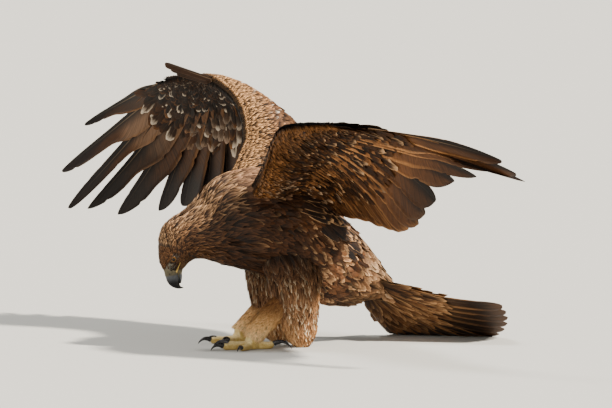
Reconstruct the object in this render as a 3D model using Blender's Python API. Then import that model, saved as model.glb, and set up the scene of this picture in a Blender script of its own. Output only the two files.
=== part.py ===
"""Golden eagle, life size, standing with both wings raised and its head bowed to the ground.

Metres, +Z up. The bird faces -Y, its left side is +X, and the floor is Z = 0.
The body is one loft of outline sections, parted into trunk, neck and head.
Each wing is a surface over three rails: the leading edge, the bones' crest and the feather tips.
"""

import math

import bmesh
import bpy
from mathutils import Matrix, Vector

MM = 0.001
GAP = 0.0004
SIDES = {"left": 1.0, "right": -1.0}

# The middle of the bird's outline as seen from above, in mm, with the feet's line as the start.
PLAN_CENTRE = (12, 192, 0)

# The body's sections, in mm: where the upper and lower outline stand in the median plane (y, z),
# and the half width across.
BODY_SECTIONS = {
    "cere": ((-180, 160), (-143, 160), 12),
    "lores": ((-186, 172), (-138, 168), 18),
    "eyes": ((-191, 189), (-130, 178), 27),
    "crown": ((-192, 210), (-121, 184), 32),
    "nape": ((-189, 235), (-112, 188), 36),
    "upper_neck": ((-180, 258), (-101, 189), 40),
    "mid_neck": ((-159, 275), (-88, 187), 45),
    "lower_neck": ((-134, 289), (-72, 182), 52),
    "neck_base": ((-107, 312), (-52, 176), 62),
    "collar": ((-83, 339), (-31, 170), 74),
    "shoulders": ((-45, 361), (-4, 163), 85),
    "mantle": ((12, 370), (38, 153), 93),
    "back": ((79, 360), (79, 134), 94),
    "loin": ((143, 325), (120, 112), 88),
    "hip": ((197, 281), (156, 94), 78),
    "rump": ((243, 238), (181, 83), 65),
    "vent": ((284, 190), (216, 84), 50),
    "tail_root": ((312, 151), (250, 89), 36),
}
BODY_PARTS = {
    "head": ("cere", "upper_neck"),
    "neck": ("upper_neck", "collar"),
    "trunk": ("collar", "rump"),
    "tail_coverts": ("rump", "tail_root"),
}
BODY_RING = 18
BODY_STEPS = 3

# The bill, in the same form: the culmen above, the cutting edge or the chin below.
UPPER_BILL_SECTIONS = [
    ((-179.6, 159.6), (-151.7, 158.5), 10.5),
    ((-177.4, 149.8), (-148.8, 149), 9.5),
    ((-174.2, 139.7), (-147.3, 141.6), 8),
    ((-166.9, 131.7), (-146.6, 136.3), 6.2),
    ((-156.9, 126.8), (-145.3, 133.1), 4.4),
    ((-146.8, 125.2), (-142.8, 130.1), 2.8),
    ((-137.7, 126.6), (-139, 128.7), 1),
]
LOWER_BILL_SECTIONS = [
    ((-151, 158.9), (-143.2, 159.3), 9),
    ((-148.1, 148.9), (-142.3, 149.8), 7.5),
    ((-146.6, 140.5), (-143.5, 141.4), 5.5),
    ((-145.9, 136.7), (-144.4, 136.9), 3),
]
BILL_RING = 12

EYE = (20, -169, 191)
EYE_RADIUS = 10.5

# The wings' rails, in mm, at numbered flight feathers: 1 to 10 are the primaries from the wrist
# to the tip, 0 to -13 the secondaries from the wrist to the elbow, and -17 is at the body.
WING_BODY, WING_TIP = -17, 10
WING_RAILS = {
    "left": {
        "leading": {
            -17: (51, -15, 317), -13: (98, -11, 360), -9: (147, -15, 402), -4: (234, -34, 449),
            0: (305, -40, 475), 5: (399, -19, 486), 10: (468, 6, 489),
        },
        "crest": {
            -17: (52, 54, 318), -13: (98, 67, 354), -9: (163, 61, 387), -4: (259, 48, 413),
            0: (340, 38, 431), 5: (475, 54, 466), 10: (567, 80, 480),
        },
        "tips": {
            -17: (26, 196, 279), -13: (47, 221, 271), -9: (136, 225, 267), -4: (263, 217, 261),
            0: (385, 199, 261), 2: (487, 189, 283), 4: (590, 186, 338), 5: (655, 195, 382),
            6: (726, 212, 395), 7: (782, 220, 408), 8: (836, 268, 390), 9: (842, 247, 408),
            10: (816, 228, 433),
        },
    },
    "right": {
        "leading": {
            -17: (-103, -30, 344), -13: (-112, 24, 391), -9: (-134, 46, 446), -4: (-174, 39, 508),
            0: (-219, 2, 549), 5: (-280, -22, 556), 10: (-341, -48, 546),
        },
        "crest": {
            -17: (-69, 107, 343), -13: (-110, 151, 405), -9: (-146, 151, 457),
            -4: (-195, 118, 498), 0: (-242, 72, 519), 5: (-385, 21, 483), 10: (-456, -40, 524),
        },
        "tips": {
            -17: (-1, 207, 260), -13: (-60, 222, 262), -9: (-145, 224, 260), -4: (-251, 203, 260),
            0: (-354, 164, 263), 2: (-455, 127, 262), 4: (-560, 80, 254), 5: (-625, 39, 242),
            6: (-708, -24, 231), 7: (-762, -75, 243), 8: (-778, -114, 240), 9: (-817, -114, 325),
            10: (-729, -91, 431),
        },
    },
}
COVERT_EDGE_ARM = 0.46
COVERT_EDGE_HAND = 0.34
ARM_ROWS = [0, 0.03, 0.09, 0.2, COVERT_EDGE_HAND, COVERT_EDGE_ARM]
HAND_ROWS = ARM_ROWS[:-1]
SECONDARY_ROWS = [COVERT_EDGE_ARM, 0.7, 0.9, 1]
PRIMARY_ROWS = [COVERT_EDGE_HAND, 0.45, 0.56, 0.67, 0.79, 0.91, 1]
ARM_THICKNESS = {-17: 42, -9: 34, 0: 25, 5: 14, 10: 7}
VANE_THICKNESS = 3
FIRST_FINGER = 5
# Half the gap between two nodes of a wing, as a share along it and in feather numbers across.
SLIT_ALONG, SLIT_ACROSS = 0.001, 0.07
# The alula's root, tip and width, in mm.
ALULA = {
    "left": ((300, -44, 480), (428, -4, 500), 20),
    "right": ((-222, -2, 560), (-358, -54, 589), 25),
}

# The tail: twelve feathers that fan from the root and come to rest on the floor.
TAIL_ROOT = (0, 282, 121)
TAIL_LENGTH_MIDDLE, TAIL_LENGTH_OUTER = 322, 288
TAIL_SLOPE_ROOT, TAIL_SLOPE_TIP = 37.0, 9.0
TAIL_ROLL, TAIL_SPREAD = 23.0, 34.0
TAIL_FEATHERS = 12
TAIL_ROOT_HALF_WIDTH = 24
TAIL_ROWS = [0.012, 0.22, 0.42, 0.6, 0.76, 0.89, 1]

# The legs, in mm, of the left side. Each section is a centre and half sizes along Y and X.
THIGH_SECTIONS = [
    ((48, 74, 215), 58, 36),
    ((56, 85, 165), 61, 38),
    ((63, 87, 129), 54, 36),
    ((68, 90, 86), 46, 32),
    ((69, 92, 55), 40, 28),
    ((69, 95, 27), 33, 23),
    ((68, 101, 7), 15, 12),
]
# The left foot stands a little in front of the right one.
TARSUS_SECTIONS = {
    "left": [
        ((69, 62, 106), 20, 17),
        ((70, 38, 78), 23, 18),
        ((70, 10, 50), 23, 18),
        ((70, -5, 30), 20, 17),
    ],
    "right": [
        ((69, 84, 102), 20, 17),
        ((70, 72, 76), 23, 18),
        ((70, 46, 48), 23, 18),
        ((70, 24, 30), 20, 17),
    ],
}
FOOT_CENTRE = {"left": (70, -12), "right": (70, 16)}
# The palm's radius, in mm, at heights above the floor.
PALM = {0: 13, 3: 16, 10: 17, 18: 15.5, 25: 12}
# Toes: heading from straight ahead towards the outer side, length, half height, claw length.
TOES = {
    "middle": (2, 50, 9, 32),
    "inner": (-40, 36, 9.5, 40),
    "outer": (46, 40, 8, 27),
    "hind": (158, 30, 9.5, 44),
}
CLAW_LIFT, CLAW_SWEEP = 35.0, 98.0
TOE_RING, CLAW_RING = 8, 6

COLOURS = {
    "feather": ((0.085, 0.045, 0.022), 0.7),
    "flight_feather": ((0.045, 0.028, 0.018), 0.55),
    "bill": ((0.05, 0.055, 0.065), 0.3),
    "eye": ((0.55, 0.25, 0.04), 0.1),
    "toe": ((0.75, 0.55, 0.08), 0.5),
    "claw": ((0.012, 0.012, 0.014), 0.3),
}


def clear_scene():
    """Starts from an empty scene."""
    for thing in list(bpy.data.objects):
        bpy.data.objects.remove(thing)


def material(name):
    """The plain material of one kind of surface."""
    found = bpy.data.materials.get(name)
    if found:
        return found
    colour, roughness = COLOURS[name]
    made = bpy.data.materials.new(name)
    made.use_nodes = True
    shader = made.node_tree.nodes["Principled BSDF"]
    shader.inputs["Base Color"].default_value = (*colour, 1)
    shader.inputs["Roughness"].default_value = roughness
    shader.inputs["Metallic"].default_value = 0
    return made


def solid(name, points, faces, surface, helper=False):
    """One closed mesh object from points in metres. Faces are turned to point outwards."""
    mesh = bpy.data.meshes.new(name)
    mesh.from_pydata([tuple(p) for p in points], [], faces)
    work = bmesh.new()
    work.from_mesh(mesh)
    bmesh.ops.recalc_face_normals(work, faces=work.faces)
    if work.calc_volume(signed=True) < 0:
        bmesh.ops.reverse_faces(work, faces=work.faces)
    work.to_mesh(mesh)
    work.free()
    mesh.materials.append(material(surface))
    mesh.shade_smooth()
    mesh.set_sharp_from_angle(angle=math.radians(40))
    made = bpy.data.objects.new(name, mesh)
    bpy.context.scene.collection.objects.link(made)
    if helper:
        made.hide_render = True
        made.display_type = "WIRE"
    return made


def cut_by(target, *cutters):
    """Takes the cutters' space out of the target."""
    for cutter in cutters:
        trim = target.modifiers.new("clear of " + cutter.name, "BOOLEAN")
        trim.operation = "DIFFERENCE"
        trim.solver = "EXACT"
        trim.object = cutter


def smooth_along(keys, at):
    """A smooth curve through keyed values, each a number or a vector, at any place between them."""
    places = sorted(keys)
    values = [keys[p] for p in places]
    if at <= places[0]:
        low = 0
    elif at >= places[-1]:
        low = len(places) - 2
    else:
        low = max(n for n in range(len(places) - 1) if places[n] <= at)

    def slope(n):
        before, after = max(n - 1, 0), min(n + 1, len(places) - 1)
        return (values[after] - values[before]) / (places[after] - places[before])

    span = places[low + 1] - places[low]
    t = (at - places[low]) / span
    if t < 0 or t > 1:
        end = low if t < 0 else low + 1
        return values[end] + slope(end) * (at - places[end])
    square, cube = t * t, t * t * t
    return (
        values[low] * (2 * cube - 3 * square + 1)
        + slope(low) * (span * (cube - 2 * square + t))
        + values[low + 1] * (3 * square - 2 * cube)
        + slope(low + 1) * (span * (cube - square))
    )


def smoothstep(low, high, value):
    """0 below low, 1 above high, and a smooth rise between them."""
    t = min(max((value - low) / (high - low), 0), 1)
    return t * t * (3 - 2 * t)


def tube(rings):
    """Points and faces of a closed tube through rings of points, with flat ends."""
    count = len(rings[0])
    points = [p for ring in rings for p in ring]
    faces = []
    for r in range(len(rings) - 1):
        for n in range(count):
            m = (n + 1) % count
            faces.append((r * count + n, r * count + m, (r + 1) * count + m, (r + 1) * count + n))
    faces.append(tuple(range(count)))
    faces.append(tuple(range((len(rings) - 1) * count, len(rings) * count)))
    return points, faces


# The body


def section_keys(rows):
    """The upper outline, lower outline and half width of outline sections, keyed by their order."""
    upper, lower, wide = {}, {}, {}
    for n, (top, bottom, half) in enumerate(rows):
        upper[n] = Vector((0, *top)) * MM
        lower[n] = Vector((0, *bottom)) * MM
        wide[n] = half * MM
    return upper, lower, wide


def outline_ring(keys, at, count, grow=0.0, square=2.0):
    """One ring of an outline loft. A square of 2 is an ellipse, and more is boxier."""
    upper, lower, wide = (smooth_along(k, at) for k in keys)
    centre, rise = (upper + lower) / 2, (upper - lower) / 2
    rise = rise * (1 + grow / rise.length)
    ring = []
    for n in range(count):
        turn = 2 * math.pi * n / count
        c, s = math.cos(turn), math.sin(turn)
        c = math.copysign(abs(c) ** (2 / square), c)
        s = math.copysign(abs(s) ** (2 / square), s)
        ring.append(centre + rise * c + Vector(((wide + grow) * s, 0, 0)))
    return ring


def shifted(ring, before):
    """The ring moved by half the gap, away from the part that it faces."""
    centre = sum(ring, Vector()) / len(ring)
    away = (centre - sum(before, Vector()) / len(before)).normalized()
    return [p - away * (GAP / 2) for p in ring]


def outline_solid(name, rows, first, last, surface, count, steps, **shape):
    """A closed loft from section number first to number last."""
    keys = section_keys(rows)
    total = max(2, round((last - first) * steps))
    places = [first + (last - first) * n / total for n in range(total + 1)]
    rings = [outline_ring(keys, at, count, shape.get("grow", 0.0)) for at in places]
    rings[0] = shifted(rings[0], rings[1])
    rings[-1] = shifted(rings[-1], rings[-2])
    return solid(name, *tube(rings), surface, helper=shape.get("helper", False))


def build_body():
    """Head, neck, trunk and tail coverts, and a slightly larger body that others are cut by."""
    names = list(BODY_SECTIONS)
    rows = list(BODY_SECTIONS.values())
    made = {}
    for part, (first, last) in BODY_PARTS.items():
        made[part] = outline_solid(
            part, rows, names.index(first), names.index(last), "feather", BODY_RING, BODY_STEPS
        )
    room = outline_solid(
        "body_room", rows, 3, len(rows) - 1, "feather", BODY_RING, BODY_STEPS, grow=GAP, helper=True
    )
    return made, room


def build_bill():
    """Upper bill with its hook, and lower bill."""
    last = len(UPPER_BILL_SECTIONS) - 1
    outline_solid("bill_upper", UPPER_BILL_SECTIONS, 0, last, "bill", BILL_RING, 2)
    last = len(LOWER_BILL_SECTIONS) - 1
    outline_solid("bill_lower", LOWER_BILL_SECTIONS, 0, last, "bill", BILL_RING, 2)


def ball(name, centre, radius, surface, helper=False):
    """A sphere."""
    work = bmesh.new()
    bmesh.ops.create_uvsphere(work, u_segments=12, v_segments=8, radius=radius)
    bmesh.ops.translate(work, verts=work.verts, vec=centre)
    points = [v.co.copy() for v in work.verts]
    faces = [tuple(v.index for v in f.verts) for f in work.faces]
    work.free()
    return solid(name, points, faces, surface, helper)


def build_eyes(head):
    """Both eyeballs, and their sockets in the head."""
    for side, sign in SIDES.items():
        centre = Vector((EYE[0] * sign, EYE[1], EYE[2])) * MM
        ball("eye_" + side, centre, EYE_RADIUS * MM, "eye")
        socket = ball("socket_" + side, centre, EYE_RADIUS * MM + GAP, "feather", helper=True)
        cut_by(head, socket)


# The wings


class Wing:
    """One wing's surface: across it runs the feather number, and along it a share from the leading
    edge, 0, to the feather's tip, 1."""

    CREST_AT = 0.3

    def __init__(self, side):
        self.side = side
        self.rails = {
            name: {n: Vector(p) * MM for n, p in rail.items()}
            for name, rail in WING_RAILS[side].items()
        }

    def point(self, feather, share):
        """The surface's middle."""
        lead = smooth_along(self.rails["leading"], feather)
        crest = smooth_along(self.rails["crest"], feather)
        tip = smooth_along(self.rails["tips"], feather)
        m = self.CREST_AT
        handle = (crest - lead * (1 - m) ** 2 - tip * m**2) / (2 * m * (1 - m))
        return lead * (1 - share) ** 2 + handle * (2 * share * (1 - share)) + tip * share**2

    def normal(self, feather, share):
        """The direction of the wing's back."""
        small = 0.02
        across = self.point(feather + small, share) - self.point(feather - small, share)
        along = self.point(feather, share + small) - self.point(feather, share - small)
        out = across.cross(along).normalized()
        return out if self.side == "left" else -out

    def thickness(self, feather, share):
        """Deep and round in front, where flesh and coverts are, and a thin vane behind."""
        deep = smooth_along(ARM_THICKNESS, feather) * MM
        vane = VANE_THICKNESS * MM
        nose = math.sqrt(1 - (1 - min(max(share / 0.12, 0), 1)) ** 2)
        fall = smoothstep(0.2, 0.46, share)
        return max(deep * nose * (1 - fall), vane * max(nose, 0.5))


def wing_corner(wing, place, share):
    """A corner of a wing slab. Nodes that meet take the normal of their common edge."""
    edge = math.floor(place) + 0.5
    facing = edge if abs(edge - place) < SLIT_ACROSS * 1.01 else place
    return wing.point(place, share), wing.normal(facing, share), wing.thickness(facing, share)


def slab(name, corners, quads, surface, helper=False):
    """A closed solid from quads of named corners. Each corner is a middle, a normal and a depth."""
    order = {key: n for n, key in enumerate(corners)}
    points = []
    for middle, normal, depth in corners.values():
        points.append(middle + normal * (depth / 2))
        points.append(middle - normal * (depth / 2))
    faces = []
    edges = {}
    for quad in quads:
        top = [order[key] * 2 for key in quad]
        faces.append(tuple(top))
        faces.append(tuple(n + 1 for n in reversed(top)))
        for a, b in zip(top, top[1:] + top[:1]):
            edges[(a, b)] = True
    for a, b in edges:
        if (b, a) not in edges:
            faces.append((b, a, a + 1, b + 1))
    return solid(name, points, faces, surface, helper)


def wing_patch(wing, name, feathers, shares, surface):
    """A plain stretch of the wing, over a grid of feather numbers and shares."""
    corners, quads = {}, []
    for i, feather in enumerate(feathers):
        for j, share in enumerate(shares):
            corners[i, j] = wing_corner(wing, feather, share)
    for i in range(len(feathers) - 1):
        for j in range(len(shares) - 1):
            quads.append(((i, j), (i + 1, j), (i + 1, j + 1), (i, j + 1)))
    return slab(name, corners, quads, surface)


def split_cells(feathers, rows, slot_of):
    """The grid of a row of feathers: its corners, and a face for each feather and row.
    An edge is shared by two feathers down to its slot, and parted beyond it."""
    corners, faces = [], []
    last = len(rows) - 1
    for feather in feathers:
        keys = {}
        for row in range(last + 1):
            for side in (-1, 1):
                edge = feather + side / 2
                parted = row > slot_of(edge)
                keys[side, row] = (feather, side, row) if parted else (edge, "shared", row)
                corners.append((keys[side, row], feather, side, row, parted))
        tip = (feather, 0, last)
        corners.append((tip, feather, 0, last, False))
        for row in range(last):
            face = [keys[-1, row], keys[1, row], keys[1, row + 1], keys[-1, row + 1]]
            faces.append(tuple(face if row < last - 1 else [*face[:3], tip, face[3]]))
    return corners, faces


def flight_feathers(wing, name, first, last, rows, fingered):
    """The free vanes of feathers first to last, joined up to where their tips part."""
    shares = [rows[0] + SLIT_ALONG, *rows[1:]]
    finger_row = 2

    def slot_of(edge):
        return finger_row if fingered and edge >= FIRST_FINGER - 0.5 else len(rows) - 2

    placed = {}
    cells, faces = split_cells(range(first, last + 1), rows, slot_of)
    for key, feather, side, row, parted in cells:
        share = shares[row]
        place = feather + side / 2
        if parted:
            start = shares[slot_of(place)]
            open_by = 0.45 * smoothstep(start, start + 0.2, share) if start < 0.8 else 0
            place = feather + side / 2 * (1 - open_by - 0.4 * smoothstep(start, 1, share) ** 3)
            share -= 0.03 * (1 - rows[0]) if row == len(rows) - 1 else 0
        elif side and (place < first or place > last):
            place -= side * SLIT_ACROSS
        placed[key] = wing_corner(wing, place, share)
    return slab(name, placed, faces, "flight_feather")


def build_alula(wing, side):
    """The small group of stiff feathers that stands out in front of the wrist."""
    room_points = {}
    columns, rows = [n + 0.5 for n in range(-5, 7)], [-0.004, *HAND_ROWS[1:]]
    for i, place in enumerate(columns):
        for j, share in enumerate(rows):
            middle, normal, depth = wing_corner(wing, place, share)
            room_points[i, j] = (middle, normal, depth + 2.4 * MM)
    room_faces = []
    for i in range(len(columns) - 1):
        for j in range(len(rows) - 1):
            room_faces.append(((i, j), (i + 1, j), (i + 1, j + 1), (i, j + 1)))
    room = slab(f"wrist_room_{side}", room_points, room_faces, "feather", helper=True)
    root, tip, width = ALULA[side]
    root, tip = Vector(root) * MM, Vector(tip) * MM
    along = tip - root
    face = along.cross(Vector((0, 0, 1))).normalized()
    across = face.cross(along).normalized()
    placed, quads = {}, []
    widths = (0.5, 0.9, 1.0, 0.7, 0.2)
    for n, share in enumerate(widths):
        t = n / (len(widths) - 1)
        for edge in (-1, 1):
            middle = root + along * t + across * (edge * width * share * MM / 2)
            placed[n, edge] = (middle, face, (5 - 2.5 * t) * MM)
    for n in range(len(widths) - 1):
        quads.append(((n, -1), (n, 1), (n + 1, 1), (n + 1, -1)))
    alula = slab(f"wing_{side}_alula", placed, quads, "flight_feather")
    cut_by(alula, room)


def build_wing(side, room):
    """Arm, hand, secondaries, tertials, primaries and alula of one wing."""
    wing = Wing(side)
    arm_columns = [n + 0.5 for n in range(WING_BODY - 1, 1)]
    arm_columns[0] += SLIT_ACROSS
    arm_columns[-1] -= SLIT_ACROSS
    arm_rows = [*ARM_ROWS[:-1], ARM_ROWS[-1] - SLIT_ALONG]
    arm = wing_patch(wing, f"wing_{side}_arm", arm_columns, arm_rows, "feather")
    cut_by(arm, room)
    hand_columns = [n + 0.5 for n in range(WING_TIP + 1)]
    hand_columns[0] += SLIT_ACROSS
    hand_columns[-1] -= SLIT_ACROSS
    hand_rows = [*HAND_ROWS[:-1], HAND_ROWS[-1] - SLIT_ALONG]
    wing_patch(wing, f"wing_{side}_hand", hand_columns, hand_rows, "feather")
    for name, first, last in (("secondaries", -13, 0), ("tertials", -17, -14)):
        made = flight_feathers(
            wing, f"wing_{side}_{name}", first, last, SECONDARY_ROWS, fingered=False
        )
        cut_by(made, room)
    flight_feathers(wing, f"wing_{side}_primaries", 1, 10, PRIMARY_ROWS, fingered=True)
    build_alula(wing, side)


# The tail


def tail_line(along):
    """The tail's middle line, its slope and its side direction at a length from the root."""
    slope = math.radians(TAIL_SLOPE_ROOT)
    bend = math.radians(TAIL_SLOPE_TIP - TAIL_SLOPE_ROOT) / (TAIL_LENGTH_MIDDLE * MM)
    end = slope + bend * along
    reach = (math.sin(end) - math.sin(slope)) / bend
    fall = (math.cos(slope) - math.cos(end)) / bend
    roll = math.radians(TAIL_ROLL)
    across = Vector(
        (math.cos(roll), math.sin(roll) * math.sin(end), math.sin(roll) * math.cos(end))
    )
    up = across.cross(Vector((0, math.cos(end), -math.sin(end))))
    return Vector(TAIL_ROOT) * MM + Vector((0, reach, -fall)), across, up


def tail_point(number, share):
    """The tail's surface and its upward direction, by feather number from right to left."""
    offset = (number - (TAIL_FEATHERS - 1) / 2) / ((TAIL_FEATHERS - 1) / 2)
    spread = math.radians(TAIL_SPREAD) * offset
    length = TAIL_LENGTH_MIDDLE + (TAIL_LENGTH_OUTER - TAIL_LENGTH_MIDDLE) * offset**2
    along = length * share * math.cos(spread) * MM
    aside = (length * share * math.sin(spread) + offset * TAIL_ROOT_HALF_WIDTH) * MM
    point, across, up = tail_line(along)
    point = point + across * aside
    lowest = VANE_THICKNESS * MM / 2
    soft = 0.006
    height = point.z - lowest
    point.z = lowest + (height + math.sqrt(height * height + soft * soft)) / 2
    lying = 1 - smoothstep(0.0, 0.02, height)
    if height < 0.001:
        point.z = lowest
        lying = 1
    return point, up.lerp(Vector((0, 0, 1)), lying).normalized()


def build_tail():
    """The fan of tail feathers as one sheet with parted tips."""
    placed = {}
    cells, faces = split_cells(range(TAIL_FEATHERS), TAIL_ROWS, lambda edge: len(TAIL_ROWS) - 2)
    for key, number, side, row, parted in cells:
        place = number + side / 2 * (0.6 if parted else 1)
        share = TAIL_ROWS[row] - (0.035 if parted else 0)
        middle, up = tail_point(place, share)
        placed[key] = (middle, up, VANE_THICKNESS * MM)
    return slab("tail", placed, faces, "flight_feather")


# The legs


def leg_ring(centre, half_y, half_x, count, tilt=0.0):
    """A flat ring round a leg, level or tilted forward."""
    turn = Matrix.Rotation(tilt, 3, "X")
    ring = []
    for n in range(count):
        angle = 2 * math.pi * n / count
        offset = Vector((half_x * math.cos(angle), half_y * math.sin(angle), 0))
        ring.append(centre + turn @ offset)
    return ring


def leg_solid(name, sections, sign, grow=0.0, tilt=0.0, helper=False):
    """A closed loft down a leg."""
    centres, deep, wide = {}, {}, {}
    for n, (centre, half_y, half_x) in enumerate(sections):
        centres[n] = Vector((centre[0] * sign, centre[1], centre[2])) * MM
        deep[n], wide[n] = half_y * MM, half_x * MM
    total = (len(sections) - 1) * 2
    rings = []
    for n in range(total + 1):
        centre = smooth_along(centres, n / 2)
        if n == total:
            centre.z -= grow
        half_y = smooth_along(deep, n / 2) + grow
        half_x = smooth_along(wide, n / 2) + grow
        rings.append(leg_ring(centre, half_y, half_x, 14, tilt))
    return solid(name, *tube(rings), "feather", helper)


def bent_tube(path, across, radii, count, low=0.0):
    """Rings round a path in an upright plane. Each radius is a half width and a half height."""
    rings = []
    for (at, pitch), (half_x, half_z) in zip(path, radii):
        forward = Vector((-across.y, across.x, 0))
        upright = Vector((0, 0, math.cos(pitch))) - forward * math.sin(pitch)
        ring = []
        for m in range(count):
            angle = 2 * math.pi * (m + 0.5) / count
            point = at + across * (half_x * math.cos(angle)) + upright * (half_z * math.sin(angle))
            point.z = max(point.z, low)
            ring.append(point)
        rings.append(ring)
    return rings


def claw_drop(length):
    """How far a claw's tip stands below its root, both in metres."""
    sweep, lift = math.radians(CLAW_SWEEP), math.radians(CLAW_LIFT)
    return length / sweep * (math.cos(lift) - math.cos(lift - sweep))


def build_toe(side, name, centre, sign):
    """One toe, as a helper that the foot joins, and its claw."""
    turn, length, half, claw = TOES[name]
    angle = math.radians(turn)
    heading = Vector((math.sin(angle) * sign, -math.cos(angle), 0))
    across = Vector((heading.y, -heading.x, 0))
    half, claw = half * MM, claw * MM
    reach = length * MM + PALM[10] * MM
    end_height = claw_drop(claw) + 0.9 * MM
    path, radii = [], []
    steps = 5
    for n in range(steps + 1):
        t = n / steps
        thick = half * (1 - 0.2 * t)
        height = thick * 0.8 + (end_height - thick * 0.8) * t**3
        knuckle = 1.0 if n % 2 else 1.1
        path.append((centre + heading * (reach * t) + Vector((0, 0, height)), 0.0))
        radii.append((thick * knuckle * 0.95, thick * knuckle))
    helper = solid(
        f"toe_{side}_{name}", *tube(bent_tube(path, across, radii, TOE_RING)), "toe", helper=True
    )
    path, radii = [], []
    steps = 6
    at = centre + heading * (reach + GAP) + Vector((0, 0, end_height))
    sweep, lift = math.radians(CLAW_SWEEP), math.radians(CLAW_LIFT)
    for n in range(steps + 1):
        t = n / steps
        pitch = lift - sweep * t
        thick = half * 0.58 * (1 - t) ** 0.8 + 0.5 * MM
        path.append((at.copy(), 0.0 if n == 0 else pitch))
        radii.append((thick * 0.8, thick))
        middle = pitch - sweep / steps / 2
        ahead = heading * math.cos(middle) + Vector((0, 0, math.sin(middle)))
        at = at + ahead * (claw / steps)
    solid(f"claw_{side}_{name}", *tube(bent_tube(path, across, radii, CLAW_RING)), "claw")
    return helper


def build_foot(side, sign):
    """The palm with four toes as one solid, and four claws."""
    across, ahead = FOOT_CENTRE[side]
    centre = Vector((across * sign, ahead, 0)) * MM
    rings = []
    for height, radius in PALM.items():
        middle = centre + Vector((0, 0, height * MM))
        rings.append(leg_ring(middle, radius * MM, radius * MM, 12))
    foot = solid("foot_" + side, *tube(rings), "toe")
    for name in TOES:
        join = foot.modifiers.new("toe " + name, "BOOLEAN")
        join.operation = "UNION"
        join.solver = "EXACT"
        join.object = build_toe(side, name, centre, sign)
    return foot


def build_leg(side, sign, room):
    """Feathered thigh, feathered shank and foot of one leg."""
    thigh = leg_solid("thigh_" + side, THIGH_SECTIONS, sign)
    cut_by(thigh, room)
    thigh_room = leg_solid("thigh_room_" + side, THIGH_SECTIONS, sign, grow=GAP, helper=True)
    shank = leg_solid("tarsus_" + side, TARSUS_SECTIONS[side], sign, tilt=math.radians(-35))
    cut_by(shank, thigh_room, room)
    build_foot(side, sign)


def centre_all():
    """Puts the middle of the whole bird's outline, seen from above, over the origin."""
    for thing in bpy.data.objects:
        thing.location = Vector(PLAN_CENTRE) * -MM


def main():
    """Builds the bird."""
    clear_scene()
    parts, room = build_body()
    build_bill()
    build_eyes(parts["head"])
    for side, sign in SIDES.items():
        build_wing(side, room)
        build_leg(side, sign, room)
    build_tail()
    centre_all()


main()
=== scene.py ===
"""Golden eagle with raised wings and bowed head: skin, feathers, bill, eyes and feet.

All shapes are worked out in the bird's own frame, in metres: it faces -Y, its left side is +X, the
floor is Z = 0, and X = Y = 0 lies between the feet. Each mesh is moved to the row frame as it is made.
"""

import math

import bpy
import numpy as np
from mathutils import Matrix, Vector


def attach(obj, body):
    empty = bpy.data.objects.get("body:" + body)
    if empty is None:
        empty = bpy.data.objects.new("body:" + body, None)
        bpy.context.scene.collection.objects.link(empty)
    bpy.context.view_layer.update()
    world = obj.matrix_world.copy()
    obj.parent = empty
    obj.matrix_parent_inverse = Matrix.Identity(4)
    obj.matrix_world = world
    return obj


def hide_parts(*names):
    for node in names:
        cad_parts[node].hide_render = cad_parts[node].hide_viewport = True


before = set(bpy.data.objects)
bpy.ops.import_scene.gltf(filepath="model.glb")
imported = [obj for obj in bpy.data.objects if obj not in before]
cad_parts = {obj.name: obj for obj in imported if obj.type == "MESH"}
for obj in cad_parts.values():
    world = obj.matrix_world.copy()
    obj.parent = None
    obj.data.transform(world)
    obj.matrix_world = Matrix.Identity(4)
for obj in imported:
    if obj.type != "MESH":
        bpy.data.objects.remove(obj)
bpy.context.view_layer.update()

MM = 0.001
PLAN_CENTRE = np.array((0.012, 0.192, 0.0))
SIDES = {"left": 1.0, "right": -1.0}
CIRCLE = 2 * np.pi
# A wing surface's b is the feather number over this.
SPAN = 28.0
rng = np.random.default_rng(7)

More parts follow.
